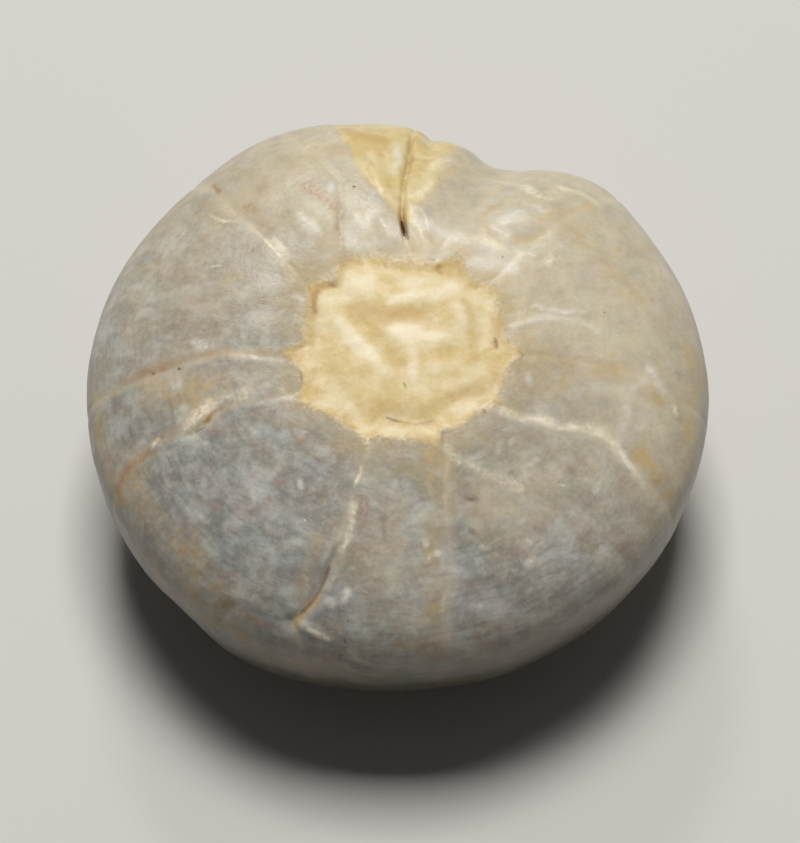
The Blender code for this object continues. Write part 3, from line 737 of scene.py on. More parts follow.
@dataclass(frozen=True)
class Scatter:
    """Random stains in one band of the stone: how many, then the range of each of their measures."""

    kind: Kind
    count: int
    sizes: Pair
    lengths: Pair
    amounts: Pair
    azimuths: Pair
    colatitudes: Pair
    seed: int
    slant: float = 0.6

    def strokes(self) -> list[Stroke]:
        """Short strokes with random places, lengths, slants, widths and amounts, in that order."""
        draw = np.random.default_rng(self.seed)
        made = []
        for _ in range(self.count):
            azimuth = draw.uniform(*self.azimuths)
            colatitude = draw.uniform(*self.colatitudes)
            reach = draw.uniform(*self.lengths)
            slant = draw.uniform(-self.slant, self.slant)
            run = ((colatitude, azimuth), (colatitude + reach * slant, azimuth + reach))
            made.append(Stroke(draw.uniform(*self.sizes), draw.uniform(*self.amounts), run))
        return made


# The first six cover the hidden dome, the next two the far rim, and the rest mostly the top's near half.
SCATTERS = (
    Scatter(Kind.MILK_AND_HIGHLIGHT, 60, (0.15, 0.5), (0.5, 5.0), (0.2, 0.6), (0, 360), (92, 150), 11),
    Scatter(Kind.MAUVE, 46, (0.2, 0.45), (0.5, 5.0), (0.2, 0.5), (0, 360), (92, 150), 12),
    Scatter(Kind.RUST, 34, (0.12, 0.35), (0.5, 7.0), (0.2, 0.6), (0, 360), (92, 150), 13),
    Scatter(Kind.OCHRE, 40, (0.3, 0.8), (1.0, 9.0), (0.2, 0.45), (0, 360), (90, 150), 14),
    Scatter(Kind.SMOKE, 40, (0.2, 0.5), (0.5, 6.0), (0.25, 0.55), (0, 360), (92, 150), 15),
    Scatter(Kind.CREAM_AND_HIGHLIGHT, 30, (0.2, 0.5), (1.0, 8.0), (0.2, 0.5), (0, 360), (92, 150), 16),
    Scatter(Kind.MILK_AND_HIGHLIGHT, 12, (0.15, 0.4), (0.5, 4.0), (0.2, 0.5), (20, 160), (76, 92), 17),
    Scatter(Kind.OCHRE, 10, (0.3, 0.6), (1.0, 6.0), (0.2, 0.4), (20, 160), (80, 92), 18),
    Scatter(Kind.MAUVE, 34, (0.12, 0.28), (0.4, 2.5), (0.35, 0.6), (205, 320), (54, 88), 21),
    Scatter(Kind.SMOKE, 26, (0.16, 0.36), (0.4, 3.5), (0.35, 0.55), (190, 330), (54, 88), 22),
    Scatter(Kind.MILK_AND_HIGHLIGHT, 30, (0.12, 0.26), (0.4, 3.0), (0.35, 0.65), (180, 350), (54, 88), 23),
    Scatter(Kind.RUST, 16, (0.10, 0.18), (0.3, 1.5), (0.35, 0.55), (180, 400), (54, 88), 24),
)


# ---------------------------------------------------------------- the finish


@dataclass(frozen=True)
class Glaze:
    """A colour laid over another where a pattern runs from start to end, most of it at the end.

    The colour is an sRGB text or another node's output.
    """

    pattern: str
    start: float
    end: float
    most: float
    colour: str | Socket


@dataclass(frozen=True)
class Layer:
    """One stain, painted glint or crack, laid wherever its brushed mask, broken up by noise, is strong
    enough.
    """

    kind: Kind
    colour: str
    strength: float
    grain: float
    broken: float


@dataclass(frozen=True)
class Board:
    """A material's node tree, with a short method for each kind of node that the stone needs."""

    tree: bpy.types.NodeTree

    def maths(self, operation: str, first: object, second: object = 0.0) -> Socket:
        """One arithmetic node's result."""
        return add_node(self.tree, "ShaderNodeMath", {0: first, 1: second}, operation=operation).outputs[0]

    def plus(self, first: object, second: object) -> Socket:
        """A sum."""
        return self.maths("ADD", first, second)

    def times(self, first: object, second: object) -> Socket:
        """A product."""
        return self.maths("MULTIPLY", first, second)

    def swing(self, pattern: object, size: float) -> Socket:
        """A pattern's departure from its middle value, times a size."""
        return self.times(self.maths("SUBTRACT", pattern, 0.5), size)

    def stepped(self, value: object, start: float, end: float, low: float = 0.0, high: float = 1.0) -> Socket:
        """A value eased from low at start to high at end."""
        ins = {"Value": value, "From Min": start, "From Max": end, "To Min": low, "To Max": high}
        return add_node(self.tree, "ShaderNodeMapRange", ins, interpolation_type="SMOOTHSTEP").outputs[0]

    def mixed(self, share: object, under: object, over: object) -> Socket:
        """Two colours mixed by a share, each an sRGB text or another node's output."""
        first, second = (hex_linear(each) if isinstance(each, str) else each for each in (under, over))
        ins = {0: share, 6: first, 7: second}
        return add_node(self.tree, "ShaderNodeMix", ins, data_type="RGBA").outputs[2]

    def between(self, share: object, first: object, second: object) -> Socket:
        """A number from first to second by a share."""
        return add_node(self.tree, "ShaderNodeMix", {0: share, 2: first, 3: second}).outputs[0]

    def painted(self, name: str, output: str = "Fac") -> Socket:
        """One of the skin's attributes."""
        return add_node(self.tree, "ShaderNodeAttribute", attribute_name=name).outputs[output]

    def scaled(self, place: object, scale: tuple[float, float, float]) -> Socket:
        """A place scaled along its axes."""
        return add_node(self.tree, "ShaderNodeMapping", {"Vector": place, "Scale": scale}).outputs[0]

    def noise(self, place: object, grain: float, detail: float, rough: float) -> Socket:
        """Cloudy noise with grains of one size in millimetres."""
        ins = {"Vector": place, "Scale": 1.0 / grain, "Detail": detail, "Roughness": rough}
        return add_node(self.tree, "ShaderNodeTexNoise", ins).outputs["Fac"]

    def bumped(self, bump: Pair, height: object, under: object = (0.0, 0.0, 0.0)) -> Socket:
        """A surface roughened by a pattern, by a strength and a height in millimetres."""
        ins = {"Strength": bump[0], "Distance": bump[1] * MM, "Height": height, "Normal": under}
        return add_node(self.tree, "ShaderNodeBump", ins).outputs[0]

    def glazed(
        self, under: str | Socket, glazes: tuple[Glaze, ...], patterns: Patterns, share: Socket | None = None
    ) -> Socket:
        """Lay colours over one another.

        Args:
            under: the colour beneath them.
            glazes: what is laid, from the lowest up.
            patterns: every pattern by its name.
            share: how much of them shows, or nothing for all of them.

        Returns:
            The finished colour.
        """
        for glaze in glazes:
            amount = self.stepped(patterns[glaze.pattern], glaze.start, glaze.end, 0.0, glaze.most)
            amount = amount if share is None else self.times(share, amount)
            under = self.mixed(amount, under, glaze.colour)
        return under


# Each cloudy pattern through the stone, as grain in mm, detail and roughness.
PATTERNS = {
    "cloud": (3.5, 2.0, 0.55), "mottle": (1.1, 2.0, 0.4), "blotch": (0.50, 2.0, 0.4),
    "speck": (0.22, 2.0, 0.5), "weave": (0.12, 1.0, 0.5), "wander": (1.3, 2.0, 0.55),
    "ragged": (0.42, 5.0, 0.65), "grains": (0.17, 2.0, 0.5), "chalk_cloud": (1.4, 4.0, 0.6),
    "chalk_patch": (0.8, 4.0, 0.6), "rim_patch": (0.6, 4.0, 0.55), "grit": (0.16, 3.0, 0.6),
}


@dataclass(frozen=True)
class WaxyCalcite:
    """Calcite that replaced an urchin's test, tumbled smooth: waxy and faintly see-through.

    The eye gets cloudy grey-beige tones with a soft sheen, cool where the stone is clearer,
    and cream or milky white where it is chalkier. The cool side away from the lamps is darkened
    further as painted shade, and some cream and milky marks are painted highlights. The mouth
    holds pale yellow chalk, matt and finely pitted. Grains are in millimetres: clouds of 3.5,
    mottles of 1.1, specks of 0.2.
    """

    # Pale and deep shade the milky stone, and frost and depth the clear stone.
    milky: str = "#DCD1B9"
    dark: str = "#686866"
    pale: str = "#D6CCB6"
    deep: str = "#776F60"
    frost: str = "#C6C6BF"
    depth: str = "#6B6A68"
    wedge: str = "#D0B878"
    chalk: str = "#D0B983"
    # Painted shade: the dark colour laid below the widest ring, on the side away from the lamps.
    painted_rim_shade: str = "#3A3328"
    # The flake scar's colour: dark flint, darkened further as painted shade under the rim.
    dark_flint_and_shade: str = "#262420"

    # The ground from milky through warm and middling to cool and dark, as the tone rises; its
    # rise towards the side away from the lamps is partly painted shade.
    tones: tuple[Glaze, ...] = (
        Glaze("tone", -0.45, 0.05, 1.0, "#C3B79B"), Glaze("tone", 0.0, 0.55, 1.0, "#A79D89"),
        Glaze("tone", 0.40, 1.0, 1.0, "#828179"), Glaze("tone", 0.90, 1.5, 1.0, "#686866"),
    )
    tone_cloud: float = 0.8
    clear: Pair = (0.30, 0.95)
    lively: Numbers = (0.15, 0.80, 0.55, 1.0)
    # Patches of other tints, as grain in mm, colour and strength.
    tints: tuple[tuple[float, str, float], ...] = (
        (1.5, "#B29482", 0.24), (0.6, "#A08070", 0.20), (2.0, "#AAA078", 0.16), (0.8, "#AEB4B0", 0.36),
    )
    tint_detail: Pair = (1.5, 0.4)
    tint_edge: Pair = (0.44, 0.70)
    # How much lighter and how much darker each pattern makes the stone.
    shades: tuple[tuple[str, float, float], ...] = (
        ("cloud", 0.30, 0.24), ("mottle", 0.36, 0.28), ("blotch", 0.24, 0.20), ("speck", 0.16, 0.14),
        ("weave", 0.10, 0.10),
    )
    shade_light: Pair = (0.46, 0.76)
    shade_dark: Pair = (0.54, 0.24)

    # The rings of little plates, which run round the stone and are broken into short dashes.
    row_spacing: float = 0.46
    row_wander: float = 9.0
    row_edge: Pair = (-0.1, 1.0)
    row_shown: Numbers = (0.35, 0.85, 0.0, 0.30)
    streak: Numbers = (0.75, 2.0, 0.5)
    streak_edge: Pair = (0.44, 0.66)
    dash: Numbers = (0.62, 2.0, 0.45)
    dash_squash: tuple[float, float, float] = (1.0, 1.0, 1.9)
    dash_shown: Numbers = (0.2, 0.8, 0.25, 1.0)
    dash_dark: Numbers = (0.43, 0.30, 0.20)
    dash_pale: Numbers = (0.58, 0.74, 0.16)

    # A thin chalky line in every seam.
    seam_swing: float = 0.25
    seams: tuple[Glaze, ...] = (
        Glaze("seam", 0.45, 0.05, 0.14, "#D6CCB6"), Glaze("seam", 0.16, 0.02, 0.14, "#D0B983"),
    )

    # The yellow wedge behind the mouth, sharp on its left side and soft on its right.
    wedge_swing: float = 0.5
    wedge_edge: Pair = (-0.10, 0.16)
    wedge_share: float = 0.80
    wedge_marks: tuple[Glaze, ...] = (
        Glaze("mottle", 0.35, 0.70, 0.6, "#DCCE9E"), Glaze("blotch", 0.48, 0.75, 0.6, "#BC9C5C"),
    )

    # Chalk glows warmly through the thin stone round the mouth.
    halo_swing: float = 2.6
    halo: tuple[Glaze, ...] = (Glaze("halo", 2.6, -0.4, 0.55, "#B8A06E"),)

    # The chalk in the mouth, deeper yellow towards its rim, which crumbles into brown and pale grains.
    rim_ragged: float = 0.75
    rim_grains: float = 0.30
    rim_edge: Pair = (0.16, -0.14)
    rim_patch_swing: float = 2.6
    chalk_marks: tuple[Glaze, ...] = (
        Glaze("chalk_cloud", 0.40, 0.64, 0.7, "#E3D5B2"), Glaze("chalk_patch", 0.52, 0.72, 0.40, "#C29F56"),
        Glaze("speck", 0.50, 0.72, 0.22, "#E3D5B2"), Glaze("weave", 0.52, 0.30, 0.16, "#C29F56"),
        Glaze("near_rim", -0.55, 0.35, 0.36, "#B58E45"),
    )
    border_outer: Pair = (0.42, 0.10)
    border_inner: Pair = (-0.40, -0.05)
    crumbs: tuple[Glaze, ...] = (
        Glaze("grains", 0.45, 0.33, 0.32, "#8A6A38"), Glaze("grains", 0.55, 0.68, 0.40, "#E3D5B2"),
    )

    # The stains in the order they are laid, each less ragged on the chalk, then the fine lines:
    # the painted glints and the cracks. The milk and cream stains are partly painted highlights.
    stains: tuple[Layer, ...] = (
        Layer(Kind.SMOKE, "#6E6E6A", 0.70, 0.5, 0.7), Layer(Kind.OCHRE, "#BDA068", 0.72, 0.45, 1.2),
        Layer(Kind.MAUVE, "#94776A", 0.70, 0.25, 1.4), Layer(Kind.MILK_AND_HIGHLIGHT, "#DCD7CA", 0.70, 0.3, 1.1),
        Layer(Kind.CREAM_AND_HIGHLIGHT, "#EBDFC2", 0.80, 0.2, 1.4), Layer(Kind.RUST, "#A27A4E", 0.78, 0.18, 1.5),
    )
    lines: tuple[Layer, ...] = (
        Layer(Kind.PAINTED_GLINT, "#E6DFCC", 0.50, 0.3, 0.5), Layer(Kind.CRACK, "#4C3014", 0.85, 0.3, 0.9),
    )
    layer_detail: Pair = (4.0, 0.65)
    firmness: Numbers = (-0.3, 0.3, 0.45, 1.0)
    line_side: Pair = (1.25, 0.55)
    line_end: Pair = (2.2, 1.2)

    scar_edge: Pair = (0.03, 0.16)
    scar_share: float = 0.95
    roughness: float = 0.35
    roughness_swing: float = 0.25
    chalk_roughness: float = 0.42
    flint_roughness: float = 0.40
    specular: float = 0.42
    ior: float = 1.56
    grit_bump: Pair = (0.5, 0.008)
    speck_bump: Pair = (0.6, 0.03)
    glow: float = 0.12
    glow_radius: tuple[float, float, float] = (1.0, 0.8, 0.55)
    glow_depth: float = 0.6

    def material(self) -> bpy.types.Material:
        """Build the stone's material from object coordinates and the skin's own attributes."""
        material = bpy.data.materials.new("tumbled_waxy_calcite")
        material.use_nodes = True
        material.node_tree.nodes.clear()
        board = Board(material.node_tree)

        coordinates = add_node(board.tree, "ShaderNodeTexCoord").outputs["Object"]
        place = board.scaled(coordinates, (1.0 / MM,) * 3)
        seen = {name: board.noise(place, *settings) for name, settings in PATTERNS.items()}
        rim = board.painted("rim_mm")
        edge = board.plus(rim, board.swing(seen["ragged"], self.rim_ragged))
        edge = board.plus(edge, board.swing(seen["grains"], self.rim_grains))
        seen["tone"] = board.plus(board.painted("tone"), board.swing(seen["cloud"], self.tone_cloud))
        seen["seam"] = board.plus(board.painted("seam_mm"), board.swing(seen["speck"], self.seam_swing))
        seen["halo"] = board.plus(rim, board.swing(seen["mottle"], self.halo_swing))
        seen["near_rim"] = board.plus(rim, board.swing(seen["rim_patch"], self.rim_patch_swing))

        filled = board.stepped(edge, *self.rim_edge)
        scarred = board.stepped(board.painted("scar_mm"), *self.scar_edge)
        clear = board.stepped(seen["tone"], *self.clear)
        pale = board.mixed(clear, self.pale, self.frost)
        deep = board.mixed(clear, self.deep, self.depth)
        colour = self.ground(board, place, seen, pale, deep)
        colour = self.plates(board, seen, pale, colour)
        colour = self.wedged(board, seen, colour)
        colour = self.mouth(board, seen, edge, filled, colour)
        colour = self.stained(board, place, edge, colour)
        # Painted shade: darker below the widest ring, most on the side away from the lamps, less over the
        # dome.
        colour = board.mixed(board.painted("painted_rim_shade"), colour, self.painted_rim_shade)
        # The flake scar: dark flint, darker still as painted shade.
        colour = board.mixed(board.times(scarred, self.scar_share), colour, self.dark_flint_and_shade)

        rough = board.plus(self.roughness, board.swing(seen["speck"], self.roughness_swing))
        rough = board.between(filled, rough, self.chalk_roughness)
        grit = board.bumped(self.grit_bump, seen["grit"])
        shader = add_node(board.tree, "ShaderNodeBsdfPrincipled", {
            "Base Color": colour,
            "Roughness": board.between(scarred, rough, self.flint_roughness),
            "IOR": self.ior,
            "Specular IOR Level": self.specular,
            "Normal": board.bumped(self.speck_bump, seen["speck"], grit),
            "Subsurface Weight": self.glow,
            "Subsurface Radius": self.glow_radius,
            "Subsurface Scale": self.glow_depth * MM,
        })
        add_node(board.tree, "ShaderNodeOutputMaterial", {"Surface": shader.outputs[0]})
        return material

    def ground(self, board: Board, place: Socket, seen: Patterns, pale: Socket, deep: Socket) -> Socket:
        """The clouded ground: its tones, then patches of other tints, then lighter and darker patches."""
        ground = board.glazed(self.milky, self.tones, seen)
        lively = board.stepped(seen["tone"], *self.lively)
        for grain, tint, most in self.tints:
            patch = board.stepped(board.noise(place, grain, *self.tint_detail), *self.tint_edge, 0.0, most)
            ground = board.mixed(board.times(lively, patch), ground, tint)
        for name, light, dark in self.shades:
            pair = Glaze(name, *self.shade_light, light, pale), Glaze(name, *self.shade_dark, dark, deep)
            ground = board.glazed(ground, pair, seen, lively)
        return ground

    def plates(self, board: Board, seen: Patterns, pale: Socket, ground: Socket) -> Socket:
        """Lay the rings and dashes of the little plates and the seams' chalky lines over the ground."""
        lay = board.painted("lay", "Vector")
        wave = board.times(board.painted("reach_mm"), math.tau / self.row_spacing)
        rings = board.maths("SINE", board.plus(wave, board.swing(seen["wander"], self.row_wander)))
        streaks = board.stepped(board.noise(lay, *self.streak), *self.streak_edge)
        dashes = board.times(board.stepped(rings, *self.row_edge), streaks)
        shown = board.stepped(seen["tone"], *self.row_shown)
        ground = board.mixed(board.times(dashes, shown), ground, self.dark)
        dash = {"dash": board.noise(board.scaled(lay, self.dash_squash), *self.dash)}
        pair = Glaze("dash", *self.dash_dark, self.dark), Glaze("dash", *self.dash_pale, pale)
        ground = board.glazed(ground, pair, dash, board.stepped(seen["tone"], *self.dash_shown))
        return board.glazed(ground, self.seams, seen)

    def wedged(self, board: Board, seen: Patterns, ground: Socket) -> Socket:
        """Lay the yellow wedge, and the warm glow round the mouth, over the ground."""
        inside = board.plus(board.painted("wedge_mm"), board.swing(seen["mottle"], self.wedge_swing))
        share = board.times(board.stepped(inside, *self.wedge_edge), self.wedge_share)
        ground = board.mixed(share, ground, board.glazed(self.wedge, self.wedge_marks, seen))
        return board.glazed(ground, self.halo, seen)

    def mouth(self, board: Board, seen: Patterns, edge: Socket, filled: Socket, ground: Socket) -> Socket:
        """Fill the mouth with chalk, and crumble its edge."""
        ground = board.mixed(filled, ground, board.glazed(self.chalk, self.chalk_marks, seen))
        border = board.times(board.stepped(edge, *self.border_outer), board.stepped(edge, *self.border_inner))
        return board.glazed(ground, self.crumbs, seen, border)

    def stained(self, board: Board, place: Socket, edge: Socket, colour: Socket) -> Socket:
        """Lay stains, painted highlights and glints, and cracks over all, each edge broken by its own noise.
        """
        firmness = board.stepped(edge, *self.firmness)
        for layer in (*self.stains, *self.lines):
            ragged = board.maths("SUBTRACT", board.noise(place, layer.grain, *self.layer_detail), 0.5)
            if layer.kind in FINE:
                line = board.painted(layer.kind.value, "Vector")
                side, gap, amount = add_node(board.tree, "ShaderNodeSeparateXYZ", {0: line}).outputs
                across = board.plus(board.maths("ABSOLUTE", side), board.times(ragged, 2.0 * layer.broken))
                near = board.times(board.stepped(across, *self.line_side), board.stepped(gap, *self.line_end))
                share = board.times(board.times(near, amount), layer.strength)
            else:
                broken = board.plus(board.times(board.times(ragged, firmness), 2.0 * layer.broken), 1.0)
                mask = board.times(board.painted(layer.kind.value), broken)
                share = board.stepped(mask, 0.0, 1.0, 0.0, layer.strength)
            colour = board.mixed(share, colour, layer.colour)
        return colour


# ---------------------------------------------------------------- the pieces


@dataclass
class UrchinTest:
    """The whole stone as one closed skin, finer than its CAD solid, with its stains as attributes."""

    form: TurnedForm = field(default_factory=TurnedForm)
    rim: Rim = field(default_factory=Rim)
    mouth: Mouth = field(default_factory=Mouth)
    plates: Plates = field(default_factory=Plates)
    wedge: Wedge = field(default_factory=Wedge)
    scar: FlakeScar = field(default_factory=FlakeScar)
    columns: int = 610
    mouth_rings: int = 40
    side_rings: int = 72
    dome_rings: int = 48
    seam_crowding: float = 0.10
    rim_crowding: float = 0.10
    dome_crowding: float = 1.45
    lump_sizes: Lumps = ((2.3, 0.040, 3), (0.95, 0.014, 5), (0.42, 0.005, 7))
    chalk_lumps: Lumps = ((1.0, 0.050, 9), (0.45, 0.018, 10))
    chalk_start: Pair = (-0.25, 0.0)
    side_lumps: Lumps = ((4.2, 0.13, 13), (1.7, 0.05, 14))
    side_start: Pair = (82.0, 100.0)
    lump_fade: Pair = (140.0, 155.0)
    unevenness: float = 0.5
    uneven_grain: float = 0.9
    uneven_seed: int = 41
    wobbles: Lumps = ((1.3, 0.18, 21), (0.5, 0.09, 31))
    # The tone swings round the stone, highest at front-left: clearer, cooler stone, and partly painted shade.
    clear_middle: float = 0.44
    clear_and_shade_swing: float = 0.40
    clear_and_shaded_side: float = 240.0
    lay_radius: float = 9.0
    lay_stretch: float = 1.6
    seam_off: float = 3.0
    seam_start: Pair = (0.0, 0.3)
    # Painted shade below the widest ring: the side it is darkest on, how dark, where it starts, how it fades.
    rim_shade_side: float = 262.0
    rim_shade_most: float = 0.90
    rim_shade_start: Pair = (80.0, 100.0)
    rim_shade_end: Pair = (116.0, 140.0)
    rim_shade_loss: float = 0.6
    rim_passes: int = 3

    def net(self) -> tuple[Array, Array]:
        """Lay out the net that carries the skin.

        Columns share each gap between two seams, closer together beside the seams, by
        s - c sin(2 pi s). Rings share the mouth up to its rim, then the side at even lengths
        over the surface up to the widest ring, then the dome, closer together at its start.

        Returns:
            Azimuth and colatitude as arrays of columns by rings, without the two poles.
        """
        lines = self.plates.lines()
        gaps = np.array([
            float((after.azimuth(90.0) - line.azimuth(90.0)) % 360.0)
            for line, after in zip(lines, lines[1:] + lines[:1])
        ])
        counts = np.floor(np.cumsum(gaps) / 360.0 * self.columns + 0.5).astype(int)
        counts = np.diff(np.concatenate(([0], counts)))
        along = np.linspace(0.0, 1.0, self.mouth_rings + 1)[1:]
        along = along - self.rim_crowding * np.sin(2.0 * math.pi * along) / math.pi
        down = np.linspace(0.0, 1.0, self.dome_rings + 2)[1:-1] ** self.dome_crowding
        steps = np.linspace(0.0, 180.0, PROFILE_STEPS)
        lengths = self.form.girdle(steps)
        azimuths, colatitudes = [], []
        for line, after, count in zip(lines, lines[1:] + lines[:1], counts):
            share = np.arange(count) / count
            share = share - self.seam_crowding * np.sin(2.0 * math.pi * share) / math.pi
            reach = np.full(count, self.mouth.reach)
            for _ in range(self.rim_passes):
                gap = (after.azimuth(reach) - line.azimuth(reach)) % 360.0
                reach = self.mouth.edge(line.azimuth(reach) + gap * share)
            first, last, end = self.form.girdle(reach), self.form.girdle(90.0), lengths[-1]
            even = np.linspace(0.0, 1.0, self.side_rings + 1)[1:]
            side = np.interp(first[:, None] + (last - first)[:, None] * even, lengths, steps)
            dome = np.interp(last + (end - last) * down, lengths, steps)
            domes = np.broadcast_to(dome, (count, len(dome)))
            rings = np.concatenate((reach[:, None] * along, side, domes), axis=1)
            gap = (after.azimuth(rings) - line.azimuth(rings)) % 360.0
            azimuths.append(line.azimuth(rings) + gap * share[:, None])
            colatitudes.append(rings)
        return np.concatenate(azimuths), np.concatenate(colatitudes)

    def skin(self, azimuth: Array, colatitude: Array) -> tuple[Array, dict[str, Array]]:
        """Work out the skin and what is painted on it.

        The place is the turned form plus, along its normal, the sum of the rim's swellings,
        the mouth, the seams, the drawn relief and smooth random lumps. The scar and the
        resting flat are then worn into it.

        Args:
            azimuth: degrees round, for every point.
            colatitude: degrees down, for every point.

        Returns:
            The points in millimetres, and the attributes by name.
        """
        base, normals, radius = self.form.place(azimuth, colatitude)
        edge = self.mouth.edge(azimuth)
        girdle = self.form.girdle(colatitude)
        rim_mm = girdle - self.form.girdle(edge)
        level = self.rim.relief(azimuth, colatitude) + self.mouth.relief(azimuth, colatitude)
        level += self.plates.relief(azimuth, colatitude, radius, edge)
        level += self.wedge.relief(azimuth, colatitude, radius)
        painted = self.paint(base)
        level += painted.pop(Kind.RELIEF.value)
        # Painted shade in part: the tone rises towards the front-left, the side away from the lamps.
        from_shaded_side = np.radians(azimuth - self.clear_and_shaded_side)
        painted[Kind.TONE.value] += self.clear_middle + self.clear_and_shade_swing * np.cos(from_shaded_side)
        calm = 1.0 - ease(colatitude, *self.lump_fade)
        side = calm * ease(colatitude, *self.side_start)
        filled = 1.0 - ease(rim_mm, *self.chalk_start)
        for share, drawn in ((calm, self.lump_sizes), (side, self.side_lumps), (filled, self.chalk_lumps)):
            for grain, height, seed in drawn:
                level += height * share * lumps(base, grain, seed)
        points, cut = self.scar.cut(base + normals * level[..., None], self.form)
        angle = np.radians(azimuth)
        ring = self.lay_radius
        painted["lay"] = np.stack((ring * np.cos(angle), ring * np.sin(angle), girdle * self.lay_stretch), -1)
        painted["reach_mm"] = girdle
        painted["rim_mm"] = rim_mm
        off = self.seam_off * (1.0 - ease(rim_mm, *self.seam_start))
        painted["seam_mm"] = self.plates.nearest(azimuth, colatitude, radius) + off
        painted["scar_mm"] = cut
        # Painted shade: a dark belt below the widest ring, strongest away from the lamps, for the stone's own
        # shadow.
        shade_belt = 1.0 - self.rim_shade_loss * ease(colatitude, *self.rim_shade_end)
        shade_belt = ease(colatitude, *self.rim_shade_start) * shade_belt
        facing = np.sqrt(0.5 + 0.5 * np.cos(np.radians(azimuth - self.rim_shade_side)))
        painted["painted_rim_shade"] = self.rim_shade_most * shade_belt * facing
        painted["wedge_mm"] = self.wedge.inside(azimuth, colatitude, radius)
        return self.form.wear_flat(points), painted

    def paint(self, points: Array) -> dict[str, Array]:
        """Brush every kind of stroke over the points.

        Relief and tone are summed. A stain keeps the strongest of its strokes, each a rounded
        hill across its path. A fine line keeps the side, distance and amount of its nearest
        stroke, in half widths, so that it stays sharp between the points.

        Args:
            points: places on the turned form.

        Returns:
            One array for each kind, by the kind's name.
        """
        painted = {}
        wobbled = points + np.stack([
            sum(size * lumps(points, grain, seed + axis) for grain, size, seed in self.wobbles)
            for axis in range(3)
        ], -1)
        uneven = 1.0 + self.unevenness * lumps(points, self.uneven_grain, self.uneven_seed)
        for kind in Kind:
            places = points if kind in FINE or kind in SUMMED else wobbled
            drawn = strokes(kind)
            for scatter in SCATTERS:
                if scatter.kind is kind:
                    drawn += scatter.strokes()
            if kind in FINE:
                nearest = np.zeros((*places.shape[:-1], 3))
                nearest[..., :2] = FAR_OFF
                for stroke in drawn:
                    gap, side = stroke.measure(places, self.form)
                    closer = gap < nearest[..., 1]
                    nearest[closer] = np.stack((side, gap, np.full_like(gap, stroke.amount)), -1)[closer]
                painted[kind.value] = nearest
                continue
            total = np.zeros(places.shape[:-1])
            for stroke in drawn:
                hill = stroke.amount * bell(stroke.measure(places, self.form)[0], 1.0)
                total = total + hill if kind in SUMMED else np.maximum(total, hill * uneven)
            painted[kind.value] = total
        return painted

    def faces(self, columns: int, rings: int) -> Array:
        """The net's four-cornered faces, as vertex numbers, outward side up."""
        column = np.arange(columns)[:, None]
        ring = np.arange(rings - 1)[None, :]
        here = column * rings + ring
        beside = (column + 1) % columns * rings + ring
        return np.stack((here, here + 1, beside + 1, beside), -1).reshape(-1, 4)

    def build(self) -> bpy.types.Object:
        """Make the skin as one closed mesh in the frame, with its attributes.

        Returns:
            The new object.
        """
        azimuth, colatitude = self.net()
        columns, rings = azimuth.shape
        points, painted = self.skin(
            np.concatenate((azimuth.ravel(), (0.0, 0.0))),
            np.concatenate((colatitude.ravel(), (POLE_GAP, 180.0 - POLE_GAP))),
        )

        # The two poles: the middle of the mouth and the middle of the resting flat.
        mouth_pole, rest_pole = columns * rings, columns * rings + 1
        now, after = np.arange(columns), (np.arange(columns) + 1) % columns
        fans = np.concatenate((
            np.stack((np.full(columns, mouth_pole), now * rings, after * rings), -1),
            np.stack((np.full(columns, rest_pole), (after + 1) * rings - 1, (now + 1) * rings - 1), -1),
        ))
        faces = self.faces(columns, rings)

        low, high = (np.array(corner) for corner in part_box(NODE))
        own_low, own_high = points.min(axis=0), points.max(axis=0)
        shift = (low + high) / 2.0 / MM - (own_low + own_high) / 2.0
        shift[2] = low[2] / MM - own_low[2]
        log.info("skin %s mm, CAD %s mm", np.round(own_high - own_low, 3), np.round((high - low) / MM, 3))

        mesh = bpy.data.meshes.new("urchin_stone")
        mesh.vertices.add(len(points))
        mesh.vertices.foreach_set("co", ((points + shift) * MM).ravel())
        corners = np.concatenate((faces.ravel(), fans.ravel()))
        sizes = np.concatenate((np.full(len(faces), 4), np.full(len(fans), 3)))
        mesh.loops.add(len(corners))
        mesh.loops.foreach_set("vertex_index", corners)
        mesh.polygons.add(len(sizes))
        mesh.polygons.foreach_set("loop_start", np.concatenate(([0], np.cumsum(sizes)[:-1])))
        mesh.update(calc_edges=True)
        mesh.validate()
        mesh.shade_smooth()
        for name, values in painted.items():
            vector = values.ndim == 2
            attribute = mesh.attributes.new(name, "FLOAT_VECTOR" if vector else "FLOAT", "POINT")
            attribute.data.foreach_set("vector" if vector else "value", values.ravel())
        stone = bpy.data.objects.new("urchin_stone", mesh)
        bpy.context.scene.collection.objects.link(stone)
        return stone

    def dress(self, stone: bpy.types.Object) -> None:
        """Give the stone its finish, hang it on the CAD's body, and hide the CAD part it stands in for."""
        stone.data.materials.append(WaxyCalcite().material())
        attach(stone, BODY)
        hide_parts(NODE)


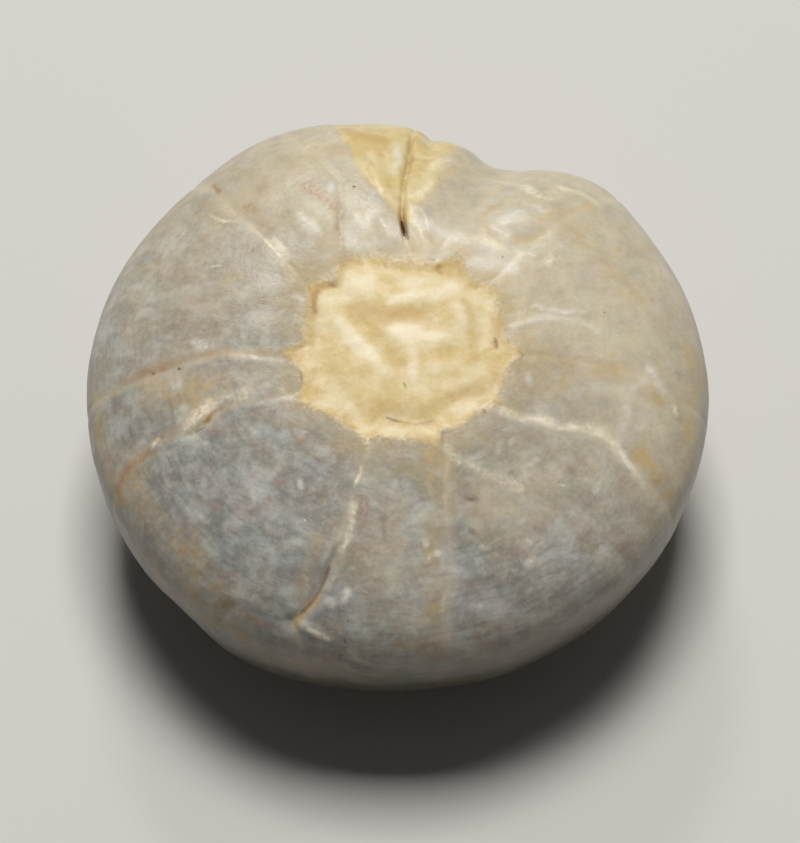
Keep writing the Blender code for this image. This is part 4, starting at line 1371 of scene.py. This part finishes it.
@dataclass
class Studio:
    """The plain pale floor, the soft lights and the camera."""

    floor_half_size: float = 1.2
    floor_colour: str = "#CBC8C2"
    floor_roughness: float = 0.9
    equator_height: float = 7.75
    camera_elevation: float = 57.0
    camera_distance: float = 160.0
    view_width: float = 33.5
    frame_pixels: tuple[int, int] = (800, 843)
    aim_pixel: Pair = (398.0, 392.0)
    sensor: float = 36.0
    clip_start: float = 0.01
    lamp_distance: float = 420.0
    key_azimuth: float = 90.0
    key_elevation: float = 77.0
    key_size: float = 150.0
    key_power: float = 1.66
    back_azimuth: float = 97.0
    back_elevation: float = 44.0
    back_size: float = 70.0
    back_power: float = 0.31
    world_strength: float = 0.07

    def floor(self) -> None:
        """A wide matt board under the stone."""
        half = self.floor_half_size
        mesh = bpy.data.meshes.new("floor")
        corners = [(-half, -half, 0.0), (half, -half, 0.0), (half, half, 0.0), (-half, half, 0.0)]
        mesh.from_pydata(corners, [], [(0, 1, 2, 3)])
        board = bpy.data.objects.new("floor", mesh)
        bpy.context.scene.collection.objects.link(board)
        material = bpy.data.materials.new("matt_board")
        material.use_nodes = True
        shader = material.node_tree.nodes["Principled BSDF"]
        shader.inputs["Base Color"].default_value = hex_linear(self.floor_colour)
        shader.inputs["Roughness"].default_value = self.floor_roughness
        mesh.materials.append(material)

    def camera(self) -> None:
        """The camera: at its elevation and distance from the widest ring, turned to frame the stone."""
        tilt = math.radians(self.camera_elevation)
        middle = Vector((0.0, 0.0, self.equator_height))
        back = Vector((0.0, -math.cos(tilt), math.sin(tilt)))
        up = Vector((0.0, math.sin(tilt), math.cos(tilt)))
        width, height = self.frame_pixels
        scale = self.view_width / width
        aim = middle + Vector((1.0, 0.0, 0.0)) * (width / 2.0 - self.aim_pixel[0]) * scale
        aim = aim - up * (height / 2.0 - self.aim_pixel[1]) * scale
        place = middle + back * self.camera_distance
        data = bpy.data.cameras.new("camera")
        data.sensor_width = self.sensor
        data.lens = self.sensor * self.camera_distance / (height * scale)
        data.clip_start = self.clip_start
        camera = bpy.data.objects.new("camera", data)
        camera.location = place * MM
        camera.rotation_euler = (aim - place).to_track_quat("-Z", "Y").to_euler()
        bpy.context.scene.collection.objects.link(camera)
        bpy.context.scene.camera = camera

    def lamp(
        self, name: str, size: float, power: float, azimuth: float, elevation: float
    ) -> bpy.types.Object:
        """A square soft lamp that faces the stone.

        Args:
            name: the lamp's name.
            size: its side in millimetres.
            power: its power in watts.
            azimuth: degrees round from +X.
            elevation: degrees above the floor.

        Returns:
            The lamp.
        """
        data = bpy.data.lights.new(name, "AREA")
        data.size = size * MM
        data.energy = power
        lamp = bpy.data.objects.new(name, data)
        round_angle, up_angle = math.radians(azimuth), math.radians(elevation)
        way = Vector((math.cos(round_angle), math.sin(round_angle), 0.0)) * math.cos(up_angle)
        way.z = math.sin(up_angle)
        lamp.location = way * self.lamp_distance * MM
        lamp.rotation_euler = way.to_track_quat("Z", "Y").to_euler()
        bpy.context.scene.collection.objects.link(lamp)
        return lamp

    def build(self) -> None:
        """Set up floor, lamps, sky and camera."""
        self.floor()
        self.camera()
        key = self.lamp("key", self.key_size, self.key_power, self.key_azimuth, self.key_elevation)
        key.visible_glossy = False
        self.lamp("back", self.back_size, self.back_power, self.back_azimuth, self.back_elevation)
        world = bpy.data.worlds.new("studio")
        world.use_nodes = True
        sky = world.node_tree.nodes["Background"].inputs
        sky["Color"].default_value = (1.0, 1.0, 1.0, 1.0)
        sky["Strength"].default_value = self.world_strength
        bpy.context.scene.world = world
        bpy.context.scene.view_settings.view_transform = "Standard"


def main() -> None:
    """Build the stone and the studio, and report each piece."""
    logging.basicConfig(level=logging.INFO, format="%(name)s: %(message)s")
    urchin = UrchinTest()
    stone = urchin.build()
    urchin.dress(stone)
    log.info("%s: %d faces", stone.name, len(stone.data.polygons))
    Studio().build()
    log.info("studio: floor, key, back lamp and camera")


if __name__ == "__main__":
    main()
